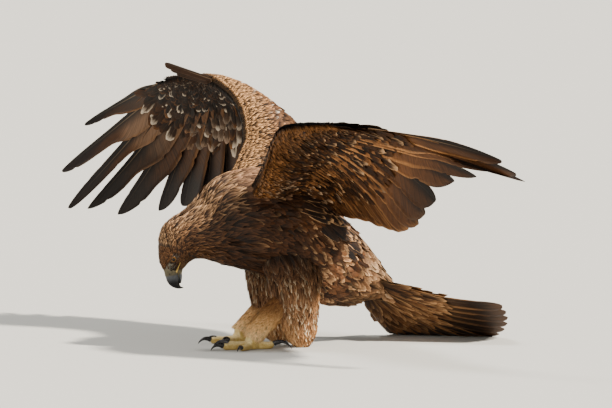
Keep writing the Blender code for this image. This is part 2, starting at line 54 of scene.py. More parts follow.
# Sizes in mm, as in the part's own source, which says what each one means. Only the innermost
# leading edge and crest of the right wing differ: here they go farther into the trunk.
BODY_SECTIONS = [
    ((-180, 160), (-143, 160), 12),
    ((-186, 172), (-138, 168), 18),
    ((-191, 189), (-130, 178), 27),
    ((-192, 210), (-121, 184), 32),
    ((-189, 235), (-112, 188), 36),
    ((-180, 258), (-101, 189), 40),
    ((-159, 275), (-88, 187), 45),
    ((-134, 289), (-72, 182), 52),
    ((-107, 312), (-52, 176), 62),
    ((-83, 339), (-31, 170), 74),
    ((-45, 361), (-4, 163), 85),
    ((12, 370), (38, 153), 93),
    ((79, 360), (79, 134), 94),
    ((143, 325), (120, 112), 88),
    ((197, 281), (156, 94), 78),
    ((243, 238), (181, 83), 65),
    ((284, 190), (216, 84), 50),
    ((312, 151), (250, 89), 36),
]
WING_RAILS = {
    "left": {
        "leading": {
            -17: (51, -15, 317), -13: (98, -11, 360), -9: (147, -15, 402), -4: (234, -34, 449),
            0: (305, -40, 475), 5: (399, -19, 486), 10: (468, 6, 489),
        },
        "crest": {
            -17: (52, 54, 318), -13: (98, 67, 354), -9: (163, 61, 387), -4: (259, 48, 413),
            0: (340, 38, 431), 5: (475, 54, 466), 10: (567, 80, 480),
        },
        "tips": {
            -17: (26, 196, 279), -13: (47, 221, 271), -9: (136, 225, 267), -4: (263, 217, 261),
            0: (385, 199, 261), 2: (487, 189, 283), 4: (590, 186, 338), 5: (655, 195, 382),
            6: (726, 212, 395), 7: (782, 220, 408), 8: (836, 268, 390), 9: (842, 247, 408),
            10: (816, 228, 433),
        },
    },
    "right": {
        "leading": {
            -17: (-60, -32, 322), -13: (-112, 24, 391), -9: (-134, 46, 446), -4: (-174, 39, 508),
            0: (-219, 2, 549), 5: (-280, -22, 556), 10: (-341, -48, 546),
        },
        "crest": {
            -17: (-52, 100, 318), -13: (-110, 151, 405), -9: (-146, 151, 457),
            -4: (-195, 118, 498), 0: (-242, 72, 519), 5: (-385, 21, 483), 10: (-456, -40, 524),
        },
        "tips": {
            -17: (-1, 207, 260), -13: (-60, 222, 262), -9: (-145, 224, 260), -4: (-251, 203, 260),
            0: (-354, 164, 263), 2: (-455, 127, 262), 4: (-560, 80, 254), 5: (-625, 39, 242),
            6: (-708, -24, 231), 7: (-762, -75, 243), 8: (-778, -114, 240), 9: (-817, -114, 325),
            10: (-729, -91, 431),
        },
    },
}
ARM_THICKNESS = {-17: 42, -9: 34, 0: 25, 5: 14, 10: 7}
ALULA = {
    "left": ((300, -44, 480), (428, -4, 500), 20),
    "right": ((-222, -2, 560), (-358, -54, 589), 25),
}
TAIL_ROOT = (0, 282, 121)
TAIL_LENGTH_MIDDLE, TAIL_LENGTH_OUTER = 322, 288
TAIL_SLOPE_ROOT, TAIL_SLOPE_TIP = 37.0, 9.0
TAIL_ROLL, TAIL_SPREAD = 23.0, 34.0
TAIL_FEATHERS = 12
TAIL_ROOT_HALF_WIDTH = 24
THIGH_SECTIONS = [
    ((48, 74, 215), 58, 36),
    ((56, 85, 165), 61, 38),
    ((63, 87, 129), 54, 36),
    ((68, 90, 86), 46, 32),
    ((69, 92, 55), 40, 28),
    ((69, 95, 27), 33, 23),
    ((68, 101, 7), 15, 12),
]
TARSUS_SECTIONS = {
    "left": [
        ((69, 62, 106), 20, 17),
        ((70, 38, 78), 23, 18),
        ((70, 10, 50), 23, 18),
        ((70, -5, 30), 20, 17),
    ],
    "right": [
        ((69, 84, 102), 20, 17),
        ((70, 72, 76), 23, 18),
        ((70, 46, 48), 23, 18),
        ((70, 24, 30), 20, 17),
    ],
}
TARSUS_TILT = math.radians(-35)
FOOT_CENTRE = {"left": (70, -12), "right": (70, 16)}
PALM = {0: 13, 3: 16, 10: 17, 18: 15.5, 25: 12}
TOES = {
    "middle": (2, 50, 9, 32),
    "inner": (-40, 36, 9.5, 40),
    "outer": (46, 40, 8, 27),
    "hind": (158, 30, 9.5, 44),
}
CLAW_LIFT, CLAW_SWEEP = 35.0, 98.0
EYE = (20, -169, 191)
# Along the bill and up from it.
BILL_AHEAD = np.array((0, -0.1, -0.995))
BILL_UP = np.array((0, -0.995, 0.1))


# Curves and surfaces, for whole arrays of places at once


def keyed(keys, at):
    """A smooth curve through keyed values, at an array of places. Beyond its ends it runs straight."""
    order = sorted(keys)
    places = np.array(order, float)
    values = np.array([np.atleast_1d(keys[k]) for k in order], float)
    at = np.atleast_1d(np.asarray(at, float))
    last = len(places) - 1
    low = np.clip(np.searchsorted(places, at, side="right") - 1, 0, last - 1)
    before = np.maximum(np.arange(last + 1) - 1, 0)
    after = np.minimum(np.arange(last + 1) + 1, last)
    slopes = (values[after] - values[before]) / (places[after] - places[before])[:, None]
    span = (places[low + 1] - places[low])[:, None]
    t = (at - places[low])[:, None] / span
    inside = np.clip(t, 0, 1)
    square, cube = inside**2, inside**3
    curve = (
        values[low] * (2 * cube - 3 * square + 1)
        + slopes[low] * span * (cube - 2 * square + inside)
        + values[low + 1] * (3 * square - 2 * cube)
        + slopes[low + 1] * span * (cube - square)
    )
    beyond = np.where(t < 0, slopes[low], slopes[low + 1])
    return curve + beyond * (t - inside) * span


def listed(rows, field):
    """Keys for keyed() from one field of a list of rows."""
    return {n: np.array(row[field], float) * MM for n, row in enumerate(rows)}


def smoothstep(low, high, value):
    t = np.clip((np.asarray(value, float) - low) / (high - low), 0, 1)
    return t * t * (3 - 2 * t)


def bell(gone, reach):
    """1 in the middle, falling smoothly to both sides."""
    return np.exp(-((gone / reach) ** 2))


def unit(vectors):
    """The same directions, each one long."""
    length = np.linalg.norm(vectors, axis=-1, keepdims=True)
    return vectors / np.maximum(length, 1e-12)


def dot(first, second):
    """The products of the rows of two arrays, as a column."""
    return (first * second).sum(1, keepdims=True)


class Surface:
    """A surface over two numbers, a along the lie of the feathers and b across it.

    Each kind has point(a, b), and inner(a, b) for a place on its inner side, which tells which way
    is out."""

    step_a, step_b = 0.02, 0.004

    def frame(self, a, b):
        """Points, outward normals and the two directions of change."""
        a, b = (v.ravel() for v in np.broadcast_arrays(np.asarray(a, float), np.asarray(b, float)))
        here = self.point(a, b)
        along = (self.point(a + self.step_a, b) - self.point(a - self.step_a, b)) / (2 * self.step_a)
        across = (self.point(a, b + self.step_b) - self.point(a, b - self.step_b)) / (2 * self.step_b)
        normal = unit(np.cross(along, across))
        normal = normal * np.sign(dot(normal, here - self.inner(a, b)) + 1e-12)
        return here, normal, along, across


class BodySurface(Surface):
    """The loft of the body. a is the section number, b the turn: 0 the back, 0.25 the left side."""

    def __init__(self, grow=0.0):
        self.upper, self.lower, self.wide = (listed(BODY_SECTIONS, field) for field in range(3))
        self.grow = grow

    def inner(self, a, b=None):
        middle = (keyed(self.upper, a) + keyed(self.lower, a)) / 2
        return np.column_stack([np.zeros(len(middle)), middle])

    def point(self, a, b):
        rise = (keyed(self.upper, a) - keyed(self.lower, a)) / 2
        length = np.linalg.norm(rise, axis=1, keepdims=True)
        rise = rise * (1 + self.grow / length)
        wide = keyed(self.wide, a)[:, 0] + self.grow
        turn = CIRCLE * np.asarray(b)
        return self.inner(a) + np.column_stack([wide * np.sin(turn), rise * np.cos(turn)[:, None]])


# Where the brow ridge runs, in mm: ahead of the eye along the bill's line, up from it, and how
# strongly it juts.
BROW = {-26: (-3, 0.0), -16: (2.5, 0.7), -6: (7.0, 1.0), 4: (10.5, 1.0), 12: (14.5, 0.75), 22: (19, 0.0)}


def about_eye(points):
    """How far ahead of and above the nearer eye's middle each point lies."""
    gone = (points - np.array(EYE) * MM) * (0, 1, 1)
    return gone @ BILL_AHEAD, gone @ BILL_UP


class HeadSurface(BodySurface):
    """The front of the body's loft with brow ridges, eye sockets, lores and cheeks."""

    def point(self, a, b):
        flat = super().point(a, b)
        ahead, up = (v / MM for v in about_eye(flat))
        facing = np.sin(CIRCLE * np.asarray(b)) ** 2
        line = keyed(BROW, ahead)
        inside = smoothstep(-27, -18, ahead) * smoothstep(22, 14, ahead)
        gone = up - line[:, 0]
        ridge = bell(gone, np.where(gone > 0, 7.5, 2.4))
        eye = np.hypot(ahead, up * 1.15)
        push = 4.4 * ridge * np.clip(line[:, 1], 0, 1) * inside
        push -= 2.4 * bell(eye, 9.5) * (gone < 1.5)
        push += 1.6 * bell(eye - 13.5, 3.5) * (gone < -3)
        push -= 2.2 * bell(np.hypot(ahead - 18, up - 1), 8)
        push += 2.0 * bell(np.hypot(ahead + 8, up + 21), 10)
        flat[:, 0] += np.sign(flat[:, 0]) * push * MM * facing
        return flat


def feathered_face(points):
    """Which places on the head carry feathers: not the eyes, nor all of the lores. Sizes are in mm
    ahead of the eye and above it."""
    ahead, up = (v / MM for v in about_eye(points))
    clear = np.hypot(ahead - 2.0, (up - 1.0) * 1.1) > np.where((up < 0) & (ahead < 4), 6.4, 8.0)
    lore = (np.hypot((ahead - 17) / 10, (up - 2.5) / 7) < 1) | ((ahead > 17) & (up < 9) & (up > -14))
    sparse = rng.random(len(points)) < 0.1
    return clear & (~lore | sparse) & (ahead < 27 + 0.15 * up)


def face_lie(points, lie, normal):
    """Face feathers point away from the bill, and part round the eye."""
    ahead, up = about_eye(points)
    gone = np.hypot(ahead, up)[:, None]
    away = np.column_stack([np.zeros(len(points)), -0.995 * up, -0.995 * ahead]) / np.maximum(gone, 1e-6)
    near = 0.55 * bell(gone, 15 * MM)
    return unit(lie * (1 - near) + away * near)


class LimbSurface(Surface):
    """A loft down a leg. a is the section number, b the turn: 0 the outer side of the left leg."""

    def __init__(self, rows, sign, tilt=0.0, grow=0.0):
        self.centres, self.deep, self.wide = (listed(rows, field) for field in range(3))
        self.sign, self.tilt, self.grow = sign, tilt, grow

    def inner(self, a, b):
        return keyed(self.centres, a) * (self.sign, 1, 1)

    def point(self, a, b):
        turn = CIRCLE * np.asarray(b)
        x = (keyed(self.wide, a)[:, 0] + self.grow) * np.cos(turn) * self.sign
        y = (keyed(self.deep, a)[:, 0] + self.grow) * np.sin(turn)
        tilted = np.column_stack([x, y * math.cos(self.tilt), y * math.sin(self.tilt)])
        return self.inner(a, b) + tilted


class WingSurface(Surface):
    """One face of a wing. a is the share from the leading edge to the feather tips, b the feather
    number over SPAN. Face is 1 for the back, -1 for the underside and 0 for the middle."""

    step_a, step_b = 0.004, 0.0008

    def __init__(self, side, face, lift=0.0):
        self.side, self.face, self.lift = side, face, lift
        self.rails = {
            name: {n: np.array(p) * MM for n, p in rail.items()}
            for name, rail in WING_RAILS[side].items()
        }

    def middle(self, share, feather):
        lead, crest, tip = (keyed(self.rails[name], feather) for name in ("leading", "crest", "tips"))
        share = np.asarray(share, float)[:, None]
        # The curve from the leading edge to the tips passes the crest at this share.
        m = 0.3
        handle = (crest - lead * (1 - m) ** 2 - tip * m**2) / (2 * m * (1 - m))
        return lead * (1 - share) ** 2 + handle * (2 * share * (1 - share)) + tip * share**2

    def back(self, share, feather):
        """The direction of the wing's back."""
        small = 0.02
        across = self.middle(share, feather + small) - self.middle(share, feather - small)
        along = self.middle(share + small, feather) - self.middle(share - small, feather)
        return unit(np.cross(across, along)) * SIDES[self.side]

    def thickness(self, share, feather):
        deep = keyed(ARM_THICKNESS, feather)[:, 0] * MM
        nose = np.sqrt(1 - (1 - np.clip(share / 0.12, 0, 1)) ** 2)
        fall = smoothstep(0.2, 0.46, share)
        return np.maximum(deep * nose * (1 - fall), 3 * MM * np.maximum(nose, 0.5))

    def inner(self, a, b):
        feather = np.asarray(b) * SPAN
        return self.middle(a, feather) - self.back(a, feather) * (self.face or 1)

    def point(self, a, b):
        a, feather = np.asarray(a, float), np.asarray(b, float) * SPAN
        depth = (self.thickness(a, feather) / 2 + self.lift) * self.face
        return self.middle(a, feather) + self.back(a, feather) * depth[:, None]


def tail_line(along):
    """The tail's middle line, its sideways direction and its upward one, at lengths from the root."""
    slope, roll = math.radians(TAIL_SLOPE_ROOT), math.radians(TAIL_ROLL)
    bend = math.radians(TAIL_SLOPE_TIP - TAIL_SLOPE_ROOT) / (TAIL_LENGTH_MIDDLE * MM)
    end = slope + bend * along
    zero = np.zeros_like(end)
    reach = (np.sin(end) - math.sin(slope)) / bend
    fall = (math.cos(slope) - np.cos(end)) / bend
    across = [zero + math.cos(roll), math.sin(roll) * np.sin(end), math.sin(roll) * np.cos(end)]
    across = np.column_stack(across)
    ahead = np.column_stack([zero, np.cos(end), -np.sin(end)])
    middle = np.array(TAIL_ROOT) * MM + np.column_stack([zero, reach, -fall])
    return middle, across, np.cross(across, ahead)


class TailSurface(Surface):
    """The tail's fan. a is the share of a feather's length, b the feather number over 12."""

    step_a, step_b = 0.01, 0.002

    def __init__(self, face=0, lift=0.0):
        self.face, self.lift = face, lift

    def flat(self, a, b):
        middle = (TAIL_FEATHERS - 1) / 2
        offset = (np.asarray(b) * TAIL_FEATHERS - middle) / middle
        spread = math.radians(TAIL_SPREAD) * offset
        length = TAIL_LENGTH_MIDDLE + (TAIL_LENGTH_OUTER - TAIL_LENGTH_MIDDLE) * offset**2
        along = length * a * np.cos(spread) * MM
        aside = (length * a * np.sin(spread) + offset * TAIL_ROOT_HALF_WIDTH) * MM
        point, across, up = tail_line(along)
        point = point + across * aside[:, None]
        # The fan eases on to the floor instead of passing through it.
        low, ease = 1.5 * MM, 6 * MM
        height = point[:, 2] - low
        point[:, 2] = low + (height + np.sqrt(height**2 + ease**2)) / 2
        return point, up

    def inner(self, a, b):
        point, up = self.flat(a, b)
        return point - up * (self.face or 1)

    def point(self, a, b):
        point, up = self.flat(np.asarray(a, float), b)
        return point + up * (1.5 * MM * self.face + self.lift)


# Meshes


def new_mesh(name, points, faces, material, slot, nodes=(), uv=None, **layers):
    """A piece of the eagle from points in the bird's frame and equal-sided faces."""
    points = np.asarray(points, float).reshape(-1, 3) - PLAN_CENTRE
    faces = np.asarray(faces, np.int32)
    mesh = bpy.data.meshes.new(name)
    mesh.vertices.add(len(points))
    mesh.vertices.foreach_set("co", points.astype(np.float32).ravel())
    mesh.loops.add(faces.size)
    mesh.loops.foreach_set("vertex_index", faces.ravel())
    mesh.polygons.add(len(faces))
    starts = np.arange(0, faces.size, faces.shape[1], dtype=np.int32)
    mesh.polygons.foreach_set("loop_start", starts)
    mesh.update(calc_edges=True)
    mesh.polygons.foreach_set("use_smooth", np.ones(len(faces), bool))
    for layer, colours in layers.items():
        made = mesh.attributes.new(layer, "FLOAT_COLOR", "POINT")
        made.data.foreach_set("color", np.asarray(colours, np.float32).ravel())
    if uv is not None:
        made = mesh.uv_layers.new(name="OFBake")
        made.data.foreach_set("uv", np.asarray(uv, np.float32)[faces.ravel()].ravel())
    mesh.materials.append(material)
    piece = bpy.data.objects.new(name, mesh)
    bpy.context.scene.collection.objects.link(piece)
    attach(piece, "root")
    if nodes:
        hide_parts(*nodes)


def grid_faces(rows, columns, closed=False):
    """Quads of a grid of points, row by row. Closed joins the last column to the first."""
    across = columns if closed else columns - 1
    r, c = (v.ravel() for v in np.meshgrid(np.arange(rows - 1), np.arange(across), indexing="ij"))
    this, d = r * columns, (c + 1) % columns
    return np.column_stack([this + c, this + d, this + columns + d, this + columns + c])


def capped_faces(rows, count):
    """Faces of a tube of rings, with both ends filled."""
    ends = [tuple(range(count)), tuple(range((rows - 1) * count, rows * count))]
    return [tuple(f) for f in grid_faces(rows, count, closed=True)] + ends


def blade_faces(rows, columns):
    """Quads of a thin blade's upper face and of the wall round it. The lower face's points follow
    the upper face's, in the same order."""
    size = rows * columns
    ids = [
        *range(columns),
        *range(2 * columns - 1, size, columns),
        *range(size - 2, size - columns - 1, -1),
        *range(size - 2 * columns, 0, -columns),
    ]
    wall = np.array([(i, j, j + size, i + size) for i, j in zip(ids, ids[1:] + ids[:1])])
    return grid_faces(rows, columns), wall


def opaque(colour, *shape):
    """A colour, or an array of colours, as an array of this shape with full alpha."""
    rgba = np.ones((*shape, 4))
    rgba[..., :3] = colour
    return rgba


class Coat:
    """Many small vanes that are joined into one mesh."""

    FLOOR_GAP = 0.4 * MM

    def __init__(self):
        self.parts = []
        self.count = 0

    def add(self, points, faces, vane, base, rim, uv):
        """Points are (vanes, corners, 3), and faces one vane's quads."""
        vanes, corners = points.shape[:2]
        shift = self.count + np.arange(vanes)[:, None, None] * corners
        arrays = (points, faces[None] + shift, vane, base, rim, uv)
        self.parts.append([v.reshape(-1, v.shape[-1]) for v in arrays])
        self.count += vanes * corners

    def build(self, name, material, slot, nodes=()):
        points, faces, vane, base, rim, uv = (np.concatenate(parts) for parts in zip(*self.parts))
        points[:, 2] = np.maximum(points[:, 2], self.FLOOR_GAP)
        new_mesh(name, points, faces, material, slot, nodes, uv, vane=vane, base=base, rim=rim)


# How wide a vane is, as a share of its full width, by the share of its length.
VANE_SHAPES = {
    "round": {
        0: 0.25, 0.12: 0.6, 0.3: 0.9, 0.5: 1, 0.68: 0.96, 0.82: 0.8, 0.92: 0.58, 0.98: 0.32, 1: 0.1,
    },
    "lance": {0: 0.3, 0.12: 0.7, 0.28: 1, 0.45: 0.95, 0.62: 0.76, 0.78: 0.5, 0.91: 0.22, 1: 0.03},
    "plume": {0: 0.3, 0.15: 0.7, 0.32: 0.95, 0.5: 1, 0.66: 0.84, 0.8: 0.58, 0.91: 0.3, 1: 0.05},
    "oval": {
        0: 0.3, 0.12: 0.66, 0.28: 0.92, 0.45: 1, 0.6: 0.98, 0.74: 0.86, 0.86: 0.64, 0.95: 0.36, 1: 0.08,
    },
    "tuft": {0: 0.5, 0.22: 0.9, 0.45: 1, 0.66: 0.78, 0.85: 0.42, 1: 0.05},
    "wisp": {0: 0.6, 0.3: 1, 0.6: 0.8, 0.85: 0.4, 1: 0.05},
}
# A vane's patch on the UV map reaches this far to each side of its root's place.
UV_PATCH = 0.0013


def lay_vanes(coat, surface, a, b, length, width, colours, unwrap, shape="round", columns=3,
              sink=0.004, rise=0.0005, cup=0.12, roll=0.12, jitter=0.1, ragged=0.12, nicks=0.0,
              stiff=0.0, towards=None):
    """Lays vanes on a surface, each from its root at (a, b) along the lie.

    length and width are arrays or numbers in metres. colours is a function of the roots' points
    that gives base and rim colours. The root lies sink under the surface and the tip rise above it.
    cup bends a vane's sides down, roll tips it to one side, jitter swings it, ragged and nicks
    notch its edges, stiff makes it straight, and towards turns the lie."""
    a, b = np.asarray(a, float).ravel(), np.asarray(b, float).ravel()
    count = len(a)
    length = np.broadcast_to(np.asarray(length, float), count) * rng.uniform(0.88, 1.12, count)
    width = np.broadcast_to(np.asarray(width, float), count) * rng.uniform(0.9, 1.1, count)
    rows, profile = (np.array(v, float) for v in zip(*VANE_SHAPES[shape].items()))
    across = np.linspace(-1, 1, columns)
    here, normal, along, aside = surface.frame(a, b)
    lie = unit(along) if towards is None else towards(here, unit(along), normal)
    lie = unit(lie - normal * dot(lie, normal))
    swing = rng.normal(0, jitter, count)[:, None]
    lie = lie * np.cos(swing) + np.cross(normal, lie) * np.sin(swing)
    # The step in a and b that moves along the lie by one metre.
    aa, bb, ab, la, lb = (
        dot(one, other)[:, 0]
        for one, other in ((along, along), (aside, aside), (along, aside), (lie, along), (lie, aside))
    )
    det = np.maximum(aa * bb - ab * ab, 1e-18)
    step_a, step_b = (la * bb - lb * ab) / det, (lb * aa - la * ab) / det
    sink = np.broadcast_to(np.asarray(sink, float), count)
    rise = rise + rng.normal(0, 0.2, count) * sink * 0.5
    roll = rng.normal(0, roll, count)
    seeds = rng.random(count)
    points = np.empty((count, len(rows), columns, 3))
    for n, t in enumerate(rows):
        reach = length * t
        spot, out, _, _ = surface.frame(a + step_a * reach, b + step_b * reach)
        if stiff:
            spot = spot * (1 - stiff) + (here + lie * reach[:, None]) * stiff
            out = unit(out * (1 - stiff) + normal * stiff)
        side = unit(np.cross(out, lie))
        height = -sink + (sink + rise) * t**0.7
        for m, x in enumerate(across):
            at_edge = abs(x) == 1
            notch = 1 + ragged * rng.normal(0, 1, count) * at_edge
            if at_edge and 0.35 < t < 1:
                nicked = rng.random(count) < nicks
                notch = notch * (1 - nicked * rng.uniform(0.3, 0.6, count))
            offset = width / 2 * profile[n] * x * notch
            up = height - cup * np.abs(offset) * abs(x) + roll * offset
            points[:, n, m] = spot + side * offset[:, None] + out * up[:, None]
            if at_edge and 0 < n < len(rows) - 1:
                slide = rng.normal(0, 0.03, count) * length
                points[:, n, m] += lie * slide[:, None]
    base, rim = (opaque(c[:, None], count, len(rows) * columns) for c in colours(here, seeds, a, b))
    grid = np.stack(np.meshgrid(rows, across, indexing="ij"), -1).reshape(-1, 2)
    vane = np.ones(base.shape)
    vane[..., 0], vane[..., 1], vane[..., 2] = grid[:, 1] * 0.5 + 0.5, grid[:, 0], seeds[:, None]
    patch = np.column_stack([grid[:, 1], grid[:, 0] * 2 - 1]) * UV_PATCH
    uv = unwrap(a, b)[:, None] + patch
    coat.add(points.reshape(count, -1, 3), grid_faces(len(rows), columns), vane, base, rim, uv)


def scatter(surface, a_range, b_range, size_at, pitch, closed=False):
    """Staggered rows of roots. size_at gives length and width at an a; pitch their overlap."""
    found_a, found_b = [], []
    a = a_range[0]
    row = 0
    probe = np.linspace(*b_range, 33)
    while a <= a_range[1]:
        length, width = size_at(a)
        line = surface.point(np.full(33, a), probe)
        steps = np.linalg.norm(np.diff(line, axis=0), axis=1)
        total = steps.sum()
        count = max(int(round(total / (width * pitch[1]))), 3)
        place = (np.arange(count) + 0.5 * (row % 2) + rng.uniform(-0.22, 0.22, count)) / count
        if not closed:
            place = np.clip(place, 0, 1)
        found_b.append(np.interp(place * total, np.concatenate([[0], np.cumsum(steps)]), probe))
        ahead = surface.point(np.full(33, a + surface.step_a), probe)
        pace = np.linalg.norm(ahead - line, axis=1).mean() / surface.step_a
        advance = length * pitch[0] / max(pace, 1e-6)
        found_a.append(a + rng.uniform(-0.3, 0.3, count) * advance)
        a += advance
        row += 1
    return np.concatenate(found_a), np.concatenate(found_b)


def unwrap_over(a_range, b_range):
    """A surface's own numbers, laid on the unit square with a margin."""

    def place(a, b):
        u = (np.asarray(a) - a_range[0]) / (a_range[1] - a_range[0])
        v = (np.asarray(b) - b_range[0]) / (b_range[1] - b_range[0])
        return np.column_stack([np.clip(u, 0, 1), np.clip(v, 0, 1)]) * 0.96 + 0.02

    return place


def blend(first, second, share):
    share = np.clip(np.asarray(share, float), 0, 1)[..., None]
    return np.asarray(first) * (1 - share) + np.asarray(second) * share


# Materials


class Nodes:
    """A short way to write a node tree."""

    def __init__(self, name):
        self.material = bpy.data.materials.new(name)
        self.material.use_nodes = True
        self.tree = self.material.node_tree
        self.shader = self.tree.nodes["Principled BSDF"]

    def new(self, kind, inputs=None, **settings):
        node = self.tree.nodes.new(kind)
        for key, value in settings.items():
            setattr(node, key, value)
        for key, value in (inputs or {}).items():
            self.put(node.inputs[key], value)
        return node

    def put(self, socket, value):
        if isinstance(value, bpy.types.NodeSocket):
            self.tree.links.new(value, socket)
        else:
            socket.default_value = value

    def math(self, operation, *values):
        node = self.new("ShaderNodeMath", operation=operation)
        for n, value in enumerate(values):
            self.put(node.inputs[n], value)
        return node.outputs[0]

    def times(self, first, second):
        return self.math("MULTIPLY", first, second)

    def plus(self, first, second):
        return self.math("ADD", first, second)

    def mix(self, share, first, second, blend_type="MIX"):
        node = self.new("ShaderNodeMix", data_type="RGBA", blend_type=blend_type)
        self.put(node.inputs[0], share)
        for socket, value in ((node.inputs[6], first), (node.inputs[7], second)):
            self.put(socket, (*value, 1) if isinstance(value, tuple) else value)
        return node.outputs[2]

    def toned(self, colour, tone):
        """A colour made lighter or darker."""
        return self.mix(1.0, colour, self.combine(tone, tone, tone), "MULTIPLY")

    def ramp(self, value, low, high, to_low=0.0, to_high=1.0):
        node = self.new("ShaderNodeMapRange", interpolation_type="SMOOTHSTEP")
        for n, item in enumerate((value, low, high, to_low, to_high)):
            self.put(node.inputs[n], item)
        return node.outputs[0]

    def noise(self, vector, scale, detail=3.0, roughness=0.55):
        inputs = {"Vector": vector, "Scale": scale, "Detail": detail, "Roughness": roughness}
        return self.new("ShaderNodeTexNoise", inputs).outputs["Fac"]

    def place(self):
        return self.new("ShaderNodeTexCoord").outputs["Object"]

    def colour(self, layer):
        return self.new("ShaderNodeAttribute", attribute_name=layer).outputs["Color"]

    def numbers(self, layer):
        """The three numbers of a colour layer."""
        return self.new("ShaderNodeSeparateColor", {"Color": self.colour(layer)}).outputs

    def combine(self, x, y, z):
        return self.new("ShaderNodeCombineXYZ", {"X": x, "Y": y, "Z": z}).outputs[0]

    def bump(self, height, strength, distance):
        inputs = {"Height": height, "Strength": strength, "Distance": distance}
        return self.new("ShaderNodeBump", inputs).outputs[0]

    def finish(self, **inputs):
        for key, value in inputs.items():
            self.put(self.shader.inputs[key.replace("_", " ")], value)
        return self.material


def feather_material(name, barbs, shaft, shaft_pale, gloss, rim, shade=(0.0, 0.1, 1.0),
                     streak_depth=0.38, glint=0.14, bars=0.0):
    """Feather: dark centre, paler rim, fine barbs swept to the tip, a shaft, and a dark root that is
    painted shade under the overlapping vanes.
    """
    n = Nodes(name)
    across, along, seed = n.numbers("vane")
    centred = n.math("SUBTRACT", across, 0.5)
    aside = n.times(n.math("ABSOLUTE", centred), 2.0)
    swept = n.math("SUBTRACT", along, n.times(aside, 0.16))
    streak = n.combine(n.times(swept, barbs), n.times(centred, 2.2), n.times(seed, 57.0))
    streak = n.noise(streak, 1.0, 4.0, 0.65)
    blotch = n.noise(n.combine(n.times(centred, 3.0), along, n.times(seed, 91.0)), 2.4, 2.0)
    edge = n.math("MAXIMUM", aside, n.times(along, n.math("POWER", along, 1.5)))
    edge = n.plus(edge, n.times(n.math("SUBTRACT", blotch, 0.5), 0.5))
    share = n.ramp(edge, *rim)
    colour = n.mix(share, n.colour("base"), n.colour("rim"))
    if bars:
        wave = n.math("SINE", n.times(n.plus(swept, n.times(blotch, 0.09)), 46.0))
        grey = n.times(n.ramp(wave, -0.1, 0.9), n.ramp(along, 0.75, 0.35))
        colour = n.mix(n.times(grey, bars), colour, (0.09, 0.055, 0.035))
    tone = n.ramp(streak, 0.25, 0.75, 1 - streak_depth, 1 + streak_depth)
    # shade darkens each vane towards its root: painted shade where the vanes above overlap it.
    colour = n.toned(colour, n.times(tone, n.ramp(along, *shade, 1.0)))
    rachis = n.ramp(aside, shaft, shaft * 0.35)
    rachis = n.times(rachis, n.ramp(along, 1.0, 0.3, 0.1, 1.0))
    colour = n.mix(n.times(rachis, shaft_pale), colour, (0.42, 0.27, 0.15))
    height = n.plus(n.times(streak, 0.7), n.times(rachis, 0.8))
    rough = n.ramp(streak, 0.2, 0.8, gloss - 0.08, gloss + 0.12)
    return n.finish(Base_Color=colour, Roughness=rough, Normal=n.bump(height, 0.55, 0.0006),
                    Specular_IOR_Level=glint)


def skin_material():
    """Down and skin between the feathers: dark brown with soft mottling."""
    n = Nodes("eagle_skin")
    where = n.place()
    mottle = n.noise(where, 60.0, 5.0, 0.6)
    fine = n.noise(where, 700.0, 3.0, 0.6)
    colour = n.colour("base")
    tone = n.times(n.ramp(fine, 0.3, 0.7, 0.7, 1.25), n.ramp(mottle, 0.3, 0.7, 0.75, 1.2))
    return n.finish(Base_Color=n.toned(colour, tone), Roughness=0.8, Normal=n.bump(fine, 0.6, 0.001))


# Plumage colours


# DARK is the plumage's near-black; on the breast, lower neck and tops of the trousers it also stands for
# painted shade.
DARK = np.array((0.0120, 0.0050, 0.0022))
BROWN = np.array((0.044, 0.0175, 0.0068))
WARM = np.array((0.125, 0.047, 0.0155))
GOLD = np.array((0.42, 0.19, 0.058))
BUFF = np.array((0.52, 0.30, 0.145))
WHITE = np.array((0.72, 0.64, 0.53))


def varied(colour, seeds, amount=0.25):
    """The colour, a little lighter or darker for each vane."""
    spread = (np.modf(seeds * 7.31)[0] - 0.5) * 2 * amount
    return colour * (1 + spread)[:, None]


def mixed(seeds, factor):
    """Another number from 0 to 1 for each vane."""
    return np.modf(seeds * factor)[0]


def washed(colours, share, *over):
    """Base and rim colours, each with a share of another laid over it."""
    return [blend(one, other, share) for one, other in zip(colours, over)]


def height_round(b):
    """How high a place lies on the ring that b goes round: 1 on top, 0 below."""
    return 0.5 + 0.5 * np.cos(CIRCLE * b)


# The skin


def remeshed(shapes, voxel):
    """Several closed shapes joined by voxels into one mesh, as points and quads."""
    mesh = bpy.data.meshes.new("joining")
    points, faces = [], []
    for shape_points, shape_faces in shapes:
        faces.extend(tuple(int(i) + len(points) for i in face) for face in shape_faces)
        points.extend(map(tuple, shape_points))
    mesh.from_pydata(points, [], faces)
    holder = bpy.data.objects.new("joining", mesh)
    bpy.context.scene.collection.objects.link(holder)
    remesh = holder.modifiers.new("voxels", "REMESH")
    remesh.mode = "VOXEL"
    remesh.voxel_size = voxel
    soften = holder.modifiers.new("soften", "SMOOTH")
    soften.factor = 0.5
    soften.iterations = 6
    holder_now = holder.evaluated_get(bpy.context.evaluated_depsgraph_get())
    result = holder_now.to_mesh()
    found = np.empty(len(result.vertices) * 3, np.float32)
    result.vertices.foreach_get("co", found)
    quads = np.array([p.vertices[:] for p in result.polygons if len(p.vertices) == 4])
    holder_now.to_mesh_clear()
    bpy.data.objects.remove(holder)
    return found.reshape(-1, 3).astype(float), quads


def capped_loft(surface, a_values, count):
    """A closed loft over a surface that goes right round, as points and faces."""
    b = np.arange(count) / count
    points = np.concatenate([surface.point(np.full(count, a), b) for a in a_values])
    return points, capped_faces(len(a_values), count)


